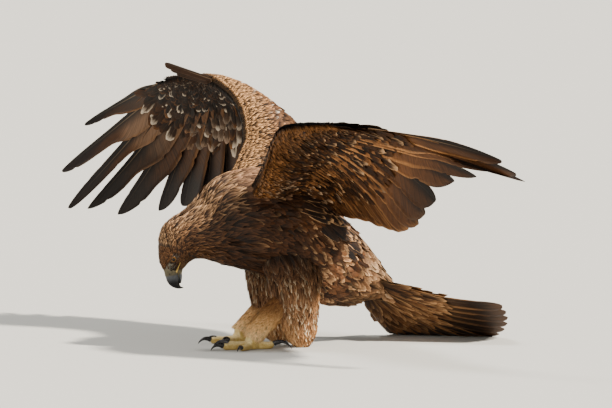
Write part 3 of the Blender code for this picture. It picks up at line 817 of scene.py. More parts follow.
def wing_core(side, shrink):
    """The flesh of a wing as a closed thin slab."""
    shares = np.array([0.02, 0.05, 0.1, 0.16, 0.24, 0.32, 0.4])
    feathers = np.linspace(-17, 9.2, 40)
    a, f = (v.ravel() for v in np.meshgrid(shares, feathers, indexing="ij"))
    surface = WingSurface(side, 0)
    middle, back = surface.middle(a, f), surface.back(a, f)
    depth = np.maximum(surface.thickness(a, f) / 2 - shrink, 1.3 * MM)[:, None]
    top, wall = blade_faces(len(shares), len(feathers))
    faces = [tuple(face) for face in np.concatenate([top, top[:, ::-1] + len(a), wall])]
    return np.concatenate([middle + back * depth, middle - back * depth]), faces


def face_shell():
    """The head's fine skin, with its brow ridges and sockets, as points, faces and colours."""
    rows, columns = 170, 150
    surface = HeadSurface(-0.8 * MM)
    a = np.repeat(np.linspace(0.0, 4.2, rows), columns)
    b = np.tile(np.arange(columns) / columns, rows)
    points = surface.point(a, b)
    # Its rear end sinks under the neck's skin.
    inset = smoothstep(2.9, 4.2, a) * 5 * MM
    points = points - unit(points - surface.inner(a)) * inset[:, None]
    ahead, up = (v / MM for v in about_eye(points))
    lore = smoothstep(1.3, 0.8, np.hypot((ahead - 18) / 11, (up - 1) / 8.5))
    lines = 0.5 + 0.5 * np.sin(up * 3.1 + 1.3 * np.sin(ahead * 0.9))
    colour = blend((0.036, 0.017, 0.008), blend((0.075, 0.066, 0.050), (0.19, 0.170, 0.130), lines), lore)
    colour = blend(colour, (0.046, 0.028, 0.017), smoothstep(13, 10, np.hypot(ahead, up)))
    front = smoothstep(21, 27, ahead) * smoothstep(14, 9, up)
    colour = blend(colour, (0.125, 0.104, 0.056), front * 0.85)
    return points, grid_faces(rows, columns, closed=True), colour


def build_skin():
    """One skin for all the flesh, inside the solids by the coat's depth."""
    depth, thin = 6 * MM, 3 * MM
    shapes = [
        capped_loft(BodySurface(-depth), np.linspace(2, 17, 46), 32),
        capped_loft(BodySurface(-thin), np.linspace(0.3, 5, 22), 32),
    ]
    nodes = ["head", "neck", "trunk", "tail_coverts"]
    for side, sign in SIDES.items():
        thigh = LimbSurface(THIGH_SECTIONS, sign, grow=-depth)
        shank = LimbSurface(TARSUS_SECTIONS[side], sign, TARSUS_TILT, -depth)
        shapes.append(capped_loft(thigh, np.linspace(0, 5.8, 20), 20))
        shapes.append(capped_loft(shank, np.linspace(0, 2.9, 14), 16))
        shapes.append(wing_core(side, thin))
        nodes += [f"thigh_{side}", f"tarsus_{side}", f"wing_{side}_arm", f"wing_{side}_hand"]
    points, faces = remeshed(shapes, 3.6 * MM)
    shell_points, shell_faces, shell_colour = face_shell()
    colour = opaque((0.030, 0.0150, 0.0080), len(points) + len(shell_points))
    colour[len(points) :, :3] = shell_colour
    faces = np.concatenate([faces, shell_faces + len(points)])
    points = np.concatenate([points, shell_points])
    new_mesh("skin", points, faces, skin_material(), "body_feathers", nodes, base=colour)


# Flight feathers


def quill_outline(t, lead, trail, round, lead_cut=0, trail_cut=0, blunt=2.0, cut_at=(0.5, 0.64)):
    """Half widths of the two vanes along a flight feather, leading side and trailing side. The vanes
    narrow by their cut at cut_at, and the tip is rounded from the share round on."""
    grow = smoothstep(-0.08, 0.14, t)
    late = np.clip((t - round) / (1 - round), 0, 1)
    tip = np.clip(1 - late**blunt, 0, 1) ** 0.55
    start, end = cut_at
    lead = lead * (1 - lead_cut * smoothstep(start - 0.1, end - 0.1, t))
    trail = trail * (1 - trail_cut * smoothstep(start, end, t))
    return [np.maximum(half * grow * tip, 0.6) * MM for half in (lead, trail)]


QUILL_COLUMNS = np.array([-1, -0.72, -0.42, -0.16, -0.03, 0, 0.03, 0.3, 0.66, 1.0])
# The quill's own columns: its ridge and its two sides.
RIDGE, QUILL_SIDE = 0, 0.03


def down_quill(rows):
    """Places down a flight feather from 0 to 1, closest together at its tip."""
    return 1 - (1 - np.linspace(0, 1, rows)) ** 1.35


def uv_strip(n, count):
    """The n-th feather's strip of the UV map, as its low and its high v."""
    return 0.01 + 0.98 * n / count, 0.01 + 0.98 * (n + 0.94) / count


def lay_quill(coat, path, lead_side, back, outline, colours, strip, spread=None, splits=2, shaft=1.0,
              camber=0.1, twist=0.1, sweep=1.0):
    """One flight feather as a closed thin blade along a path.

    path, lead_side and back are arrays down the feather: its line, the direction of its leading
    vane and that of its upper face. outline holds quill_outline's options. colours gives base and
    rim for the upper and the lower face. spread gives the places at a sideways distance from the
    line, where that isn't straight. splits notch the vanes' edges, shaft thickens the quill, camber
    and twist bend the vanes, and sweep draws their edges towards the tip."""
    rows, columns = len(path), len(QUILL_COLUMNS)
    t = down_quill(rows)
    lead, trail = quill_outline(t, **outline)
    jag_lead, jag_trail = np.ones(rows), np.ones(rows)
    for _ in range(splits):
        jag_trail[rng.integers(rows // 3, rows - 3)] -= rng.uniform(0.04, 0.14)
        jag_lead[rng.integers(rows // 3, rows - 3)] -= rng.uniform(0.02, 0.08)
    quill = (2.3 * (1 - t) ** 1.2 + 0.35) * MM * shaft
    ahead = unit(np.gradient(path, axis=0))
    points = np.empty((2, rows, columns, 3))
    for m, x in enumerate(QUILL_COLUMNS):
        half = np.where(x > 0, lead * (jag_lead if x == 1 else 1), trail * (jag_trail if x == -1 else 1))
        offset, thick = x * half, (0.28 + 0.1 * (1 - abs(x))) * MM
        if abs(x) == QUILL_SIDE:
            offset, thick = np.sign(x) * quill * 0.9, 0.4 * MM
        if x == RIDGE:
            thick = quill * 0.75
        lift = offset * twist * (0.15 + 0.85 * smoothstep(0.55, 0.85, t))
        lift = lift - camber * np.abs(x) ** 1.5 * half
        flat = path + lead_side * offset[:, None] if spread is None else spread(offset)
        swept = flat + ahead * (np.abs(offset) * 0.35 * sweep * (1 - t * 0.7))[:, None]
        points[0, :, m] = swept + back * (lift + thick)[:, None]
        points[1, :, m] = swept + back * (lift - thick)[:, None]
    top, wall = blade_faces(rows, columns)
    faces = np.concatenate([top, top[:, ::-1] + rows * columns, wall[:, ::-1]])
    seed = rng.random()
    grid_t, grid_x = np.meshgrid(t, QUILL_COLUMNS, indexing="ij")
    aside = grid_x * 0.5 + 0.5
    vane, base, rim = (np.ones((2, rows, columns, 4)) for _ in range(3))
    vane[..., 0], vane[..., 1], vane[..., 2] = aside, grid_t, seed
    uv = np.empty((2, rows, columns, 2))
    uv[..., 0] = 0.01 + 0.98 * grid_t
    low, high = strip
    middle, gap = (low + high) / 2, 0.001
    for face, (start, end) in enumerate(((low, middle - gap), (middle + gap, high))):
        base[face, ..., :3], rim[face, ..., :3] = colours(face, grid_t, grid_x, seed)
        uv[face, ..., 1] = start + (end - start) * aside
    coat.add(points.reshape(1, -1, 3), faces, vane, base, rim, uv)


# The forms of the remiges, each from its feather number up: 10 is the outermost primary, 0 and
# below are secondaries.
REMEX_FORMS = {
    10: dict(lead=10, trail=31, lead_cut=0.1, trail_cut=0.2, round=0.78, blunt=1.9),
    8: dict(lead=16, trail=50, lead_cut=0.42, trail_cut=0.46, round=0.8, blunt=1.9, cut_at=(0.46, 0.66)),
    7: dict(lead=16, trail=50, lead_cut=0.42, trail_cut=0.46, round=0.8, blunt=1.9, cut_at=(0.54, 0.74)),
    5: dict(lead=18, trail=60, lead_cut=0.3, trail_cut=0.3, round=0.82, blunt=2.1, cut_at=(0.62, 0.82)),
    1: dict(lead=20, trail=56, lead_cut=0.1, round=0.85, blunt=2.4),
    -17: dict(lead=18, trail=42, round=0.89, blunt=2.6),
}
# How far the outer primaries turn about their quills.
FINGER_TWIST = {
    "left": {5: 0.1, 6: 0.1, 7: 0.25, 8: 0.5, 9: 0.15, 10: 0.13},
    "right": {5: 0.1, 6: 0.1, 7: 0.08, 8: 0.08, 9: 0.08, 10: 0.08},
}


def remex_colours(feather, side):
    """Colours of a wing's flight feather on its upper and lower face."""
    # 1 on the hand and 0 on the arm.
    primary = smoothstep(-1, 4, feather)
    # The far (right) wing's flight feathers are darkened to 0.4 as painted shade in its hollow; the near
    # wing keeps its lighter tones and less black tips as painted light glowing through it.
    shaded = 0.4 if side == "right" else 1.0
    tip_black_and_glow = 0.55 if side == "left" else 1.0
    bleached = {7: 0.35, 8: 0.75, 9: 0.9}.get(feather, 0) if side == "right" else 0

    def colours(face, t, x, seed):
        tone = 1 + (seed - 0.5) * 0.8
        black = np.array((0.0085, 0.0065, 0.0062)) * tone
        if face == 0:
            base = blend(np.array((0.020, 0.0125, 0.009)) * tone, black, smoothstep(0.3, 0.9, t) * 0.8)
            return base, blend((0.035, 0.022, 0.015), black, smoothstep(0.6, 1, t))
        # The inner vane is paler and warmer than the outer one, and the tips are darkest.
        inner = smoothstep(0.0, -0.5, x)
        pale = blend((0.016, 0.0062, 0.0023), (0.230, 0.094, 0.0310), inner * 0.75)
        middle = blend((0.007, 0.0030, 0.0014), (0.085, 0.0325, 0.0105), inner)
        base = blend(pale, middle, smoothstep(0.15, 0.5, t)) * tone * shaded
        clear = inner * smoothstep(0.62, 0.5, t) * smoothstep(0.1, 0.25, t)
        base = blend(base, (0.135, 0.074, 0.040), clear * bleached)
        base = blend(base, black, smoothstep(0.62, 0.85, t) * (0.35 + 0.55 * primary) * tip_black_and_glow)
        rim = blend((0.44, 0.200, 0.072), (0.012, 0.009, 0.008), smoothstep(0.5, 1, t) * primary)
        return base * (0.7 + 0.3 * primary), rim * shaded

    return colours


def wing_quills(side, first, last, group, start):
    """Flight feathers first to last of one wing, as one piece."""
    surface = WingSurface(side, 0)
    coat = Coat()
    for n, feather in enumerate(range(first, last + 1)):
        rows = 40 if feather > 0 else 28
        number = np.full(rows, feather + rng.normal(0, 0.04))
        reach = 1.0 - (0.012 * rng.random() if feather < 5 else 0.0)
        t = down_quill(rows)
        share = start + (reach - start) * t
        back = surface.back(share, number)
        lead_side = surface.middle(share, number + 0.1) - surface.middle(share, number - 0.1)
        lead_side = unit(lead_side)
        lead_side = unit(lead_side - back * dot(lead_side, back))
        droop = back * ((0.5 + 0.5 * np.sin(feather * 2.1)) * 4 * MM * t**2)[:, None]
        step = surface.middle(share, number + 0.5) - surface.middle(share, number - 0.5)
        pace = np.linalg.norm(step, axis=1)

        def spread(offset):
            return surface.middle(share, number + offset / pace) - droop

        form = REMEX_FORMS[max(key for key in REMEX_FORMS if key <= feather)]
        lay_quill(coat, surface.middle(share, number) - droop, lead_side, back, form,
                  remex_colours(feather, side), uv_strip(n, last - first + 1), spread,
                  twist=FINGER_TWIST[side].get(feather, 0.09), shaft=1.0 if feather > 0 else 0.8)
    coat.build(f"{group}_{side}", QUILL, "flight_feathers", [f"wing_{side}_{group}"])


def rectrix_colours(face, t, x, seed):
    """Tail feathers: brown, darker towards the tip, with tawny rims."""
    tone = 1 + (seed - 0.5) * 0.3
    base = blend((0.060, 0.030, 0.015), (0.014, 0.0070, 0.0042), smoothstep(0.4, 0.8, t)) * tone
    return base, blend((0.30, 0.150, 0.060), (0.060, 0.027, 0.012), smoothstep(0.5, 0.92, t))


def tail_quills():
    """The twelve tail feathers, the middle pair on top."""
    surface = TailSurface()
    coat = Coat()
    rows = 24
    middle = (TAIL_FEATHERS - 1) / 2
    share = 0.02 + 0.98 * down_quill(rows)
    for n in range(TAIL_FEATHERS):
        offset = (n - middle) / middle
        b, step = np.full(rows, n / TAIL_FEATHERS), 0.1 / TAIL_FEATHERS
        path = surface.point(share, b)
        _, up = surface.flat(share, b)
        near_floor = smoothstep(0.02, 0.0, path[:, 2] - 2 * MM)[:, None]
        up = unit(up * (1 - near_floor) + np.array((0, 0, 1)) * near_floor)
        outer = unit(surface.point(share, b + step) - surface.point(share, b - step)) * np.sign(offset)
        path = path - up * (abs(offset) * 2 * MM * share[:, None])
        path[:, 2] = np.maximum(path[:, 2], 0.9 * MM)
        lay_quill(coat, path, outer, up, dict(lead=15, trail=28, round=0.86), rectrix_colours,
                  uv_strip(n, TAIL_FEATHERS), twist=0.05, shaft=0.8, camber=0.02)
    coat.build("tail_feathers", TAIL_QUILL, "flight_feathers", ["tail"])


# How the alula's feathers differ from the solid's line: how far they start before its root, as a
# share of its length, and behind it, in mm, and how much higher their two ends lie, in mm.
ALULA_START = {"left": (-0.04, 9), "right": (0.12, 0)}
ALULA_DROP = {"left": (-3, -8), "right": (-1, -3)}
# The near (left) alula is near-black with a faint blue tint, partly its own colour and partly painted
# blue-grey sheen; the far one is brown.
ALULA_COLOUR = {"left": (0.0075, 0.0075, 0.0095), "right": (0.030, 0.0145, 0.0075)}


def alula_quills(side):
    """Three stiff feathers at the wrist."""
    root, tip, width = ALULA[side]
    root, tip = np.array(root) * MM, np.array(tip) * MM
    along = tip - root
    face = unit(np.cross(along, (0, 0, 1.0)))
    across = unit(np.cross(face, along))
    before, behind = ALULA_START[side]
    start_drop, end_drop = ALULA_DROP[side]

    def colours(which, t, x, seed):
        base = np.zeros(t.shape + (3,)) + np.array(ALULA_COLOUR[side]) * (1 + (seed - 0.5) * 0.4)
        return base, base * 2.0

    coat = Coat()
    rows = 14
    for n in range(3):
        start = root - along * before - across * (4 + 2.5 * n) * MM
        start = start + np.array((0, behind, start_drop)) * MM
        end = root + along * (0.9 - 0.13 * n) - across * (3 + n * 0.17 * width) * MM
        end = end + np.array((0, 0, end_drop)) * MM
        path = start + (end - start) * down_quill(rows)[:, None] + face * (0.8 * MM * n)
        sides = np.broadcast_to(across, (rows, 3)), np.broadcast_to(face, (rows, 3))
        lay_quill(coat, path, *sides, dict(lead=4.5, trail=8.5, round=0.86, blunt=3), colours,
                  (0.01 + 0.33 * n, 0.31 + 0.33 * n), twist=0.05, shaft=0.5, sweep=0.3, splits=0,
                  camber=0.3)
    coat.build(f"alula_{side}", QUILL, "flight_feathers", [f"wing_{side}_alula"])


# Coats


def sized(at, length, width, feather):
    """Length and width of a feather from lists in mm."""
    return np.interp(feather, at, length) * MM, np.interp(feather, at, width) * MM


def body_size(a):
    """Length and width of a body feather by section number."""
    return sized(
        [0, 1, 2, 3, 4, 5, 6, 8, 10, 12, 14, 16, 17],
        [5, 6.5, 9, 13, 19, 27, 34, 43, 50, 56, 64, 76, 84],
        [2.3, 2.8, 3.6, 4.8, 6.4, 8.2, 10, 13, 16, 18, 21, 23, 24],
        a,
    )


def head_colours(points, seeds, a, b):
    """Face and crown: warm brown, rufous on the forehead, with fine pale tips."""
    back = height_round(b)
    base = blend((0.026, 0.0115, 0.005), (0.070, 0.031, 0.013), back * seeds)
    rim = blend((0.075, 0.033, 0.0135), (0.25, 0.115, 0.048), back * (0.2 + 0.8 * mixed(seeds, 5.3)))
    throat = smoothstep(0.6, 0.2, back) * smoothstep(2.6, 1.2, a)
    rim = blend(rim, (0.26, 0.145, 0.07), throat * 0.6)
    return varied(base, seeds, 0.3), varied(rim, seeds, 0.3)


def neck_colours(points, seeds, a, b):
    """Hackles: dark centres with golden rims on the nape, dull on the sides, dark in front."""
    back = smoothstep(0.56, 0.97, height_round(b))
    # Lower on the neck, towards the shoulder, bases and rims go darker: partly the plumage's own colour
    # and partly painted shade under the raised wing.
    high = smoothstep(7.5, 4.0, a)
    rim = blend((0.040, 0.0155, 0.006), (0.24, 0.110, 0.045), mixed(seeds, 9.1) * (0.12 + 0.88 * high))
    rim = blend(rim, (0.60, 0.36, 0.185), back * (0.1 + 0.9 * mixed(seeds, 4.7)))
    base = blend(blend(DARK, BROWN, 0.6 * seeds * high), (0.060, 0.026, 0.0105), back * 0.7)
    return varied(base, seeds), varied(rim, seeds)


def patches(points):
    """Soft spots from 0 to 1 over the body, a few centimetres across: partly the plumage's own mottling
    and partly painted dapples of light and shade.
    """
    x, y, z = points.T
    wave = np.sin(y * 61 + 1.7 + 2 * np.sin(z * 37))
    wave = wave * np.sin(z * 83 + 0.6 + 2 * np.sin(y * 29 + x * 40))
    return np.clip(0.5 + 0.65 * wave, 0, 1)


def trunk_colours(points, seeds, a, b):
    """Breast, flanks and back: nearly black brown in front, partly the breast's own colour and partly
    painted shade under the raised wing; warmer and paler towards the rump.
    """
    rear = smoothstep(10.8, 13.0, a)
    low = 1 - height_round(b)
    patch = patches(points)
    # DARK in front stands partly for the breast's own near-black and partly for painted shade under the
    # raised wing.
    base = blend(DARK, BROWN, 0.4 * seeds + 0.6 * rear)
    base = blend(base, (0.150, 0.070, 0.032), rear * patch * 0.75)
    rim = blend((0.034, 0.0125, 0.0045), WARM, mixed(seeds, 3.7) * (0.3 + 0.7 * rear))
    pale = (mixed(seeds, 13.7) < 0.08 + 0.26 * rear * (0.4 + patch)) * (0.3 + 0.6 * rear)
    rim = blend(rim, BUFF * 0.85, pale)
    rim = blend(rim, (0.16, 0.055, 0.018), smoothstep(0.8, 1.0, low) * (1 - rear) * 0.6)
    saddle = smoothstep(0.22, 0.08, low) * smoothstep(12.2, 13.4, a)
    mantle = smoothstep(0.24, 0.1, low) * smoothstep(11.9, 10.9, a)
    both = washed((base, rim), saddle * 0.8, (0.20, 0.105, 0.058), (0.36, 0.21, 0.125))
    base, rim = washed(both, mantle * 0.85, (0.105, 0.052, 0.027), (0.42, 0.235, 0.130))
    # Towards the rump the tone rises and falls with patch: painted dapples of light and shade.
    tone = (1 - rear * (1 - (0.45 + 0.95 * patch)))[:, None]
    return varied(base * tone, seeds, 0.5), varied(rim * tone, seeds, 0.45)


def rump_colours(points, seeds, a, b):
    """Rump and tail coverts: tawny brown with buff edges, pale on the back as painted highlight and
    darker below as painted shade.
    """
    base = blend((0.13, 0.058, 0.024), (0.026, 0.0110, 0.0046), seeds)
    rim = blend((0.20, 0.090, 0.036), BUFF * 1.1, mixed(seeds, 5.9) ** 1.5)
    high, patch = height_round(b), patches(points)
    # Pale on top of the rump: painted highlight where light falls on its back.
    top_highlight = smoothstep(0.55, 0.9, high) * patch
    base, rim = washed((base, rim), top_highlight * 0.8, (0.30, 0.180, 0.098), (0.62, 0.46, 0.29))
    # Darker below and lighter on top: painted shade and painted light.
    tone = (0.4 + 0.75 * smoothstep(0.1, 0.5, high) * (0.4 + 0.6 * patch))[:, None]
    return varied(base * tone, seeds), varied(rim * tone, seeds)


def tail_covert_colours(points, seeds, a, b):
    """Tail coverts: dark centres and tawny orange edges."""
    base = blend((0.026, 0.0105, 0.0045), (0.150, 0.066, 0.026), seeds)
    rim = blend((0.20, 0.088, 0.032), (0.52, 0.290, 0.130), mixed(seeds, 5.9))
    return varied(base, seeds), varied(rim, seeds)


def scapular_colours(points, seeds, a, b):
    """Long feathers over the back: glossy black brown with thin pale edges."""
    base = blend((0.0085, 0.0065, 0.006), (0.024, 0.0135, 0.009), seeds)
    return base, blend((0.05, 0.026, 0.014), BUFF, (mixed(seeds, 6.3) > 0.45) * 0.85)


def thigh_colours(points, seeds, a, b):
    """Trousers: brown with pale flecks and golden low down; the golden back edge is partly painted rim
    light, and the darkening at the top and front is painted shade.
    """
    height, front = points[:, 2], -np.sin(CIRCLE * b)
    low, rear = smoothstep(0.10, 0.015, height), smoothstep(0.55, 1.0, -front)
    base = blend((0.070, 0.029, 0.0120), (0.25, 0.115, 0.052), seeds)
    rim = blend((0.19, 0.082, 0.034), (0.66, 0.370, 0.180), mixed(seeds, 3.1))
    # The golden back edge is partly the trousers' own colour and partly painted rim light.
    rim = blend(rim, GOLD * 1.15, np.maximum(0.5 * low, 0.8 * rear))
    flecked = mixed(seeds, 17.3) < 0.14
    base, rim = washed((base, rim), flecked, (0.42, 0.26, 0.14), (0.98, 0.78, 0.52))
    base = blend(base, GOLD * 0.5, np.maximum(low * 0.3, rear * 0.5))
    shin = smoothstep(0.1, 0.7, front) * smoothstep(0.105, 0.06, height)
    base, rim = washed((base, rim), shin * 0.8, (0.36, 0.175, 0.066), (0.60, 0.36, 0.17))
    # Darker at the top, under the body, and on the front: painted shade.
    top = smoothstep(0.115, 0.19, height + 0.02 * (mixed(seeds, 8.9) - 0.5))
    top = np.maximum(top, 0.75 * smoothstep(0.2, 0.9, front) * smoothstep(0.07, 0.13, height))
    base, rim = blend(base, DARK * 1.4, top * 0.9), blend(rim, (0.060, 0.024, 0.0095), top * 0.85)
    return varied(base, seeds), varied(rim, seeds)


def tarsus_colours(points, seeds, a, b):
    """Feathered shank: brown like the trousers above, golden below and nearly white at the foot."""
    height = points[:, 2]
    low = smoothstep(0.105, 0.045, height + 0.006 * (mixed(seeds, 7.7) - 0.5))
    base = blend((0.105, 0.045, 0.017), (0.66, 0.325, 0.105), low)
    base = blend(base, (0.95, 0.74, 0.42), smoothstep(0.065, 0.03, height) * (0.5 + 0.5 * seeds))
    rim = blend(blend(base, GOLD, 0.3), (0.95, 0.66, 0.31), low * (0.4 + 0.5 * seeds))
    return varied(base, seeds), rim


def body_coat(name, surface, a_range, pitch, colours, material, keep=None, sink_share=0, **how):
    """One coat round the body between two sections."""
    a, b = scatter(surface, a_range, (0, 1), body_size, pitch, closed=True)
    if keep:
        clear = keep(surface.point(a, b))
        a, b = a[clear], b[clear]
    length, width = body_size(a)
    if sink_share:
        how["sink"] = length * sink_share
    coat = Coat()
    unwrap = unwrap_over((a_range[0] - 0.2, a_range[1] + 0.2), (0, 1))
    lay_vanes(coat, surface, a, b, length, width, colours, unwrap, **how)
    coat.build(name, material, "body_feathers")


def body_coats():
    """Head, neck, trunk and rump feathers."""
    surface = BodySurface()
    body_coat("coat_head", HeadSurface(), (0.15, 3.3), (0.26, 0.5), head_colours, FEATHER_SMALL,
              keep=feathered_face, shape="tuft", sink=0.0016, rise=0.0004, jitter=0.15, cup=0.2,
              towards=face_lie, roll=0.25)
    body_coat("coat_neck", surface, (3.2, 9.6), (0.22, 0.48), neck_colours, FEATHER_HACKLE,
              shape="lance", sink_share=0.1, rise=0.0022, jitter=0.17, cup=0.28, roll=0.3)
    body_coat("coat_trunk", surface, (9.4, 14.6), (0.2, 0.42), trunk_colours, FEATHER,
              shape="oval", columns=5, sink=0.006, rise=0.0028, jitter=0.2, cup=0.22, roll=0.28,
              ragged=0.14, nicks=0.06)
    body_coat("coat_rump", surface, (14.6, 17.3), (0.17, 0.38), rump_colours, FEATHER,
              shape="oval", columns=5, sink=0.006, rise=0.0018, jitter=0.16, cup=0.16, roll=0.2,
              ragged=0.14, nicks=0.06, stiff=0.35)
    coat = Coat()
    for face, count in ((1, 150), (-1, 110)):
        fan = TailSurface(face, 3 * MM * face)
        a = np.sort(rng.uniform(-0.02, 0.26, count))[::-1]
        b = rng.uniform(0.0, 0.92, count)
        lay_vanes(coat, fan, a, b, 0.125 - 0.06 * np.abs(b - 0.46), 0.025, tail_covert_colours,
                  unwrap_over((-0.1, 0.3), (-0.1, 1.0)), shape="oval", columns=5, sink=0.001,
                  rise=0.0018, cup=0.14, jitter=0.08, nicks=0.06)
    coat.build("coat_tail_coverts", FEATHER, "body_feathers")
    coat = Coat()
    count = 46
    for sign in SIDES.values():
        a = rng.uniform(11.3, 13.4, count)
        b = (0.10 + 0.075 * rng.random(count)) * sign % 1.0
        lay_vanes(coat, surface, a, b, 0.12, 0.021, scapular_colours, unwrap_over((10, 14), (0, 1)),
                  columns=5, sink=0.009, rise=0.005, jitter=0.12, cup=0.18, roll=0.15, stiff=0.25)
    coat.build("coat_scapulars", QUILL_SMALL, "flight_feathers")


def leg_coat(name, surface, a_range, pitch, size, colours, unwrap, material, **how):
    """One coat round a leg."""
    coat = Coat()
    a, b = scatter(surface, a_range, (0, 1), size, pitch, closed=True)
    lay_vanes(coat, surface, a, b, *size(a), colours, unwrap_over(unwrap, (0, 1)), **how)
    coat.build(name, material, "body_feathers")


def thigh_size(a):
    return sized([0, 3, 6], [46, 38, 28], [9, 7, 5.5], a)


def shank_size(a):
    return sized([0, 3], [26, 17], [6.5, 5], a)


def leg_coats():
    """Trousers and feathered shanks."""
    for side, sign in SIDES.items():
        thigh = LimbSurface(THIGH_SECTIONS, sign)
        leg_coat(f"coat_thigh_{side}", thigh, (0.2, 5.75), (0.2, 0.42), thigh_size, thigh_colours,
                 (0, 6), FEATHER, shape="plume", sink=0.006, rise=0.0035, jitter=0.2, cup=0.2,
                 roll=0.35, ragged=0.3, nicks=0.2, stiff=0.2)
        shank = LimbSurface(TARSUS_SECTIONS[side], sign, TARSUS_TILT)
        leg_coat(f"coat_tarsus_{side}", shank, (0.0, 2.95), (0.2, 0.45), shank_size, tarsus_colours,
                 (-0.1, 3.1), FEATHER_SHANK, shape="lance", sink=0.003, rise=0.0018, jitter=0.18,
                 cup=0.25, roll=0.3, stiff=0.5)


# How far back the coverts reach on each face, as a share of the wing's depth, by feather number.
COVERT_REACH = {
    1: [0.40, 0.43, 0.43, 0.39, 0.27, 0.17],
    -1: [0.50, 0.60, 0.62, 0.56, 0.41, 0.3],
}


class CovertSurface(WingSurface):
    """A wing's face where a is the share of the coverts' own zone, which narrows on the hand."""

    step_a = 0.01

    def share(self, a, b):
        reach = np.interp(np.asarray(b) * SPAN, [-17, -13, -4, 0, 5, 10], COVERT_REACH[self.face])
        return np.asarray(a, float) * reach

    def point(self, a, b):
        return super().point(self.share(a, b), b)

    def inner(self, a, b):
        return super().inner(self.share(a, b), b)


def covert_size(a):
    """Length and width of a wing covert by the share of the coverts' zone."""
    return sized([0, 0.08, 0.2, 0.4, 0.6, 0.8, 1], [13, 17, 24, 37, 56, 82, 106],
                 [6.5, 8, 10.5, 14.5, 19, 25, 31], a)


def strip_size(a):
    """The same for the raised arm's back, whose front feathers are small and narrow."""
    return sized([0, 0.15, 0.3, 0.45, 0.6, 0.8, 1], [17, 22, 28, 36, 54, 80, 106],
                 [3.7, 4.3, 5.4, 9, 17, 25, 31], a)


def upper_colours(side):
    """Back of the wing: golden along the arm's front edge, dark brown behind and on the hand."""

    def colours(points, seeds, a, b):
        feather = b * SPAN
        front = smoothstep(0.95, 0.35, a) * smoothstep(3.5, -1.5, feather)
        base = blend((0.012, 0.0075, 0.0055), (0.030, 0.016, 0.009), seeds)
        rim = blend((0.040, 0.021, 0.012), (0.12, 0.065, 0.034), mixed(seeds, 4.3))
        if side == "right":
            red = smoothstep(0.1, 0.4, a)
            light = blend((0.95, 0.52, 0.225), (0.52, 0.23, 0.095), red * 0.8)
            rim = blend(rim, light, front * (0.45 + 0.55 * mixed(seeds, 5.1)))
            base = blend(base, (0.048, 0.0195, 0.0078), front * 0.8)
            dull = (mixed(seeds, 7.9) < 0.2 + 0.6 * red) * smoothstep(0.1, 0.3, a)
            base, rim = washed((base, rim), dull * 0.85, (0.030, 0.014, 0.007), (0.085, 0.040, 0.020))
            rim = blend(rim, WHITE, (mixed(seeds, 17.9) < 0.07) * red * smoothstep(0.55, 0.4, a) * 0.6)
        else:
            rim = blend(rim, (0.30, 0.16, 0.07), front * smoothstep(0.2, 0.4, a) * 0.6)
            # Along the near wing's top edge the coverts go near-black and grey rather than brown: partly
            # their own dark colour and partly painted blue-grey sheen.
            top = smoothstep(0.4, 0.2, a) * smoothstep(-5, -1, feather)
            base, rim = washed((base, rim), top, (0.010, 0.009, 0.0105), (0.020, 0.018, 0.020))
        return varied(base, seeds, 0.35), varied(rim, seeds, 0.3)

    return colours


def under_colours(side):
    """Underside of the wing: dark brown with pale streaks behind; amber along the near wing's front edge
    as painted glow of light shining through it, and the far wing's front darkened as painted shade in its
    hollow.
    """

    def colours(points, seeds, a, b):
        feather = b * SPAN
        front, rear = smoothstep(0.3, 0.02, a), smoothstep(0.55, 0.95, a)
        pale = mixed(seeds, 11.3)
        base = blend((0.0070, 0.0028, 0.0011), (0.024, 0.0090, 0.0030), seeds)
        base = blend(base, (0.040, 0.0155, 0.0052), rear * 0.2)
        rim = blend((0.026, 0.0098, 0.0033), (0.24, 0.096, 0.029), mixed(seeds, 6.7) ** 3)
        if side == "left":
            # On the near wing the front edge goes amber: painted glow of light shining through the
            # feathers.
            base = blend(base, (0.13, 0.048, 0.0135), front * 0.7)
            rim = blend(rim, (0.36, 0.155, 0.045), front * 0.75)
            rim = blend(rim, (0.42, 0.25, 0.13), (pale > 0.84) * 0.8 * (1 - front))
            inner = smoothstep(-9, -14, feather)
            rim = blend(rim, (0.42, 0.28, 0.18), inner * (pale > 0.75) * 0.6)
        else:
            # On the far wing the front, deep in the hollow, is darkened: painted shade.
            base = base * (0.45 + 0.55 * rear)[:, None]
            rim = rim * (0.5 + 0.5 * rear)[:, None]
            rim = blend(rim, (0.50, 0.41, 0.31), (pale > 0.87) * (1 - 0.7 * front) * 0.85)
            grey = rear * smoothstep(6, 1, feather) * (mixed(seeds, 3.9) > 0.45)
            rim = blend(rim, (0.34, 0.26, 0.19), grey * 0.8)
            base = blend(base, (0.12, 0.075, 0.045), grey * 0.4)
        return varied(base, seeds, 0.6), varied(rim, seeds, 0.45)

    return colours


def spanwise(side, share):
    """Turns the lie of a wing's feathers towards its tip by a share of their own direction."""

    def turned(points, lie, normal):
        out = np.cross(normal, lie)
        return unit(lie + out * np.sign(out[:, :1]) * SIDES[side] * share)

    return turned


# The coverts' zones from the front back: range, pitch, shape, columns, the tips' rise and the roll.
COVERT_ZONES = [
    ((0.0, 0.3), (0.3, 0.58), "tuft", 3, 2.6 * MM, 0.2),
    ((0.3, 0.72), (0.27, 0.52), "round", 3, 2.6 * MM, 0.2),
    ((0.72, 1.0), (0.22, 0.46), "round", 5, 4.5 * MM, 0.05),
]
STRIP_ZONES = [((0.0, 0.3), (0.36, 0.62), "tuft", 3, 2.6 * MM, 0.2), *COVERT_ZONES[1:]]


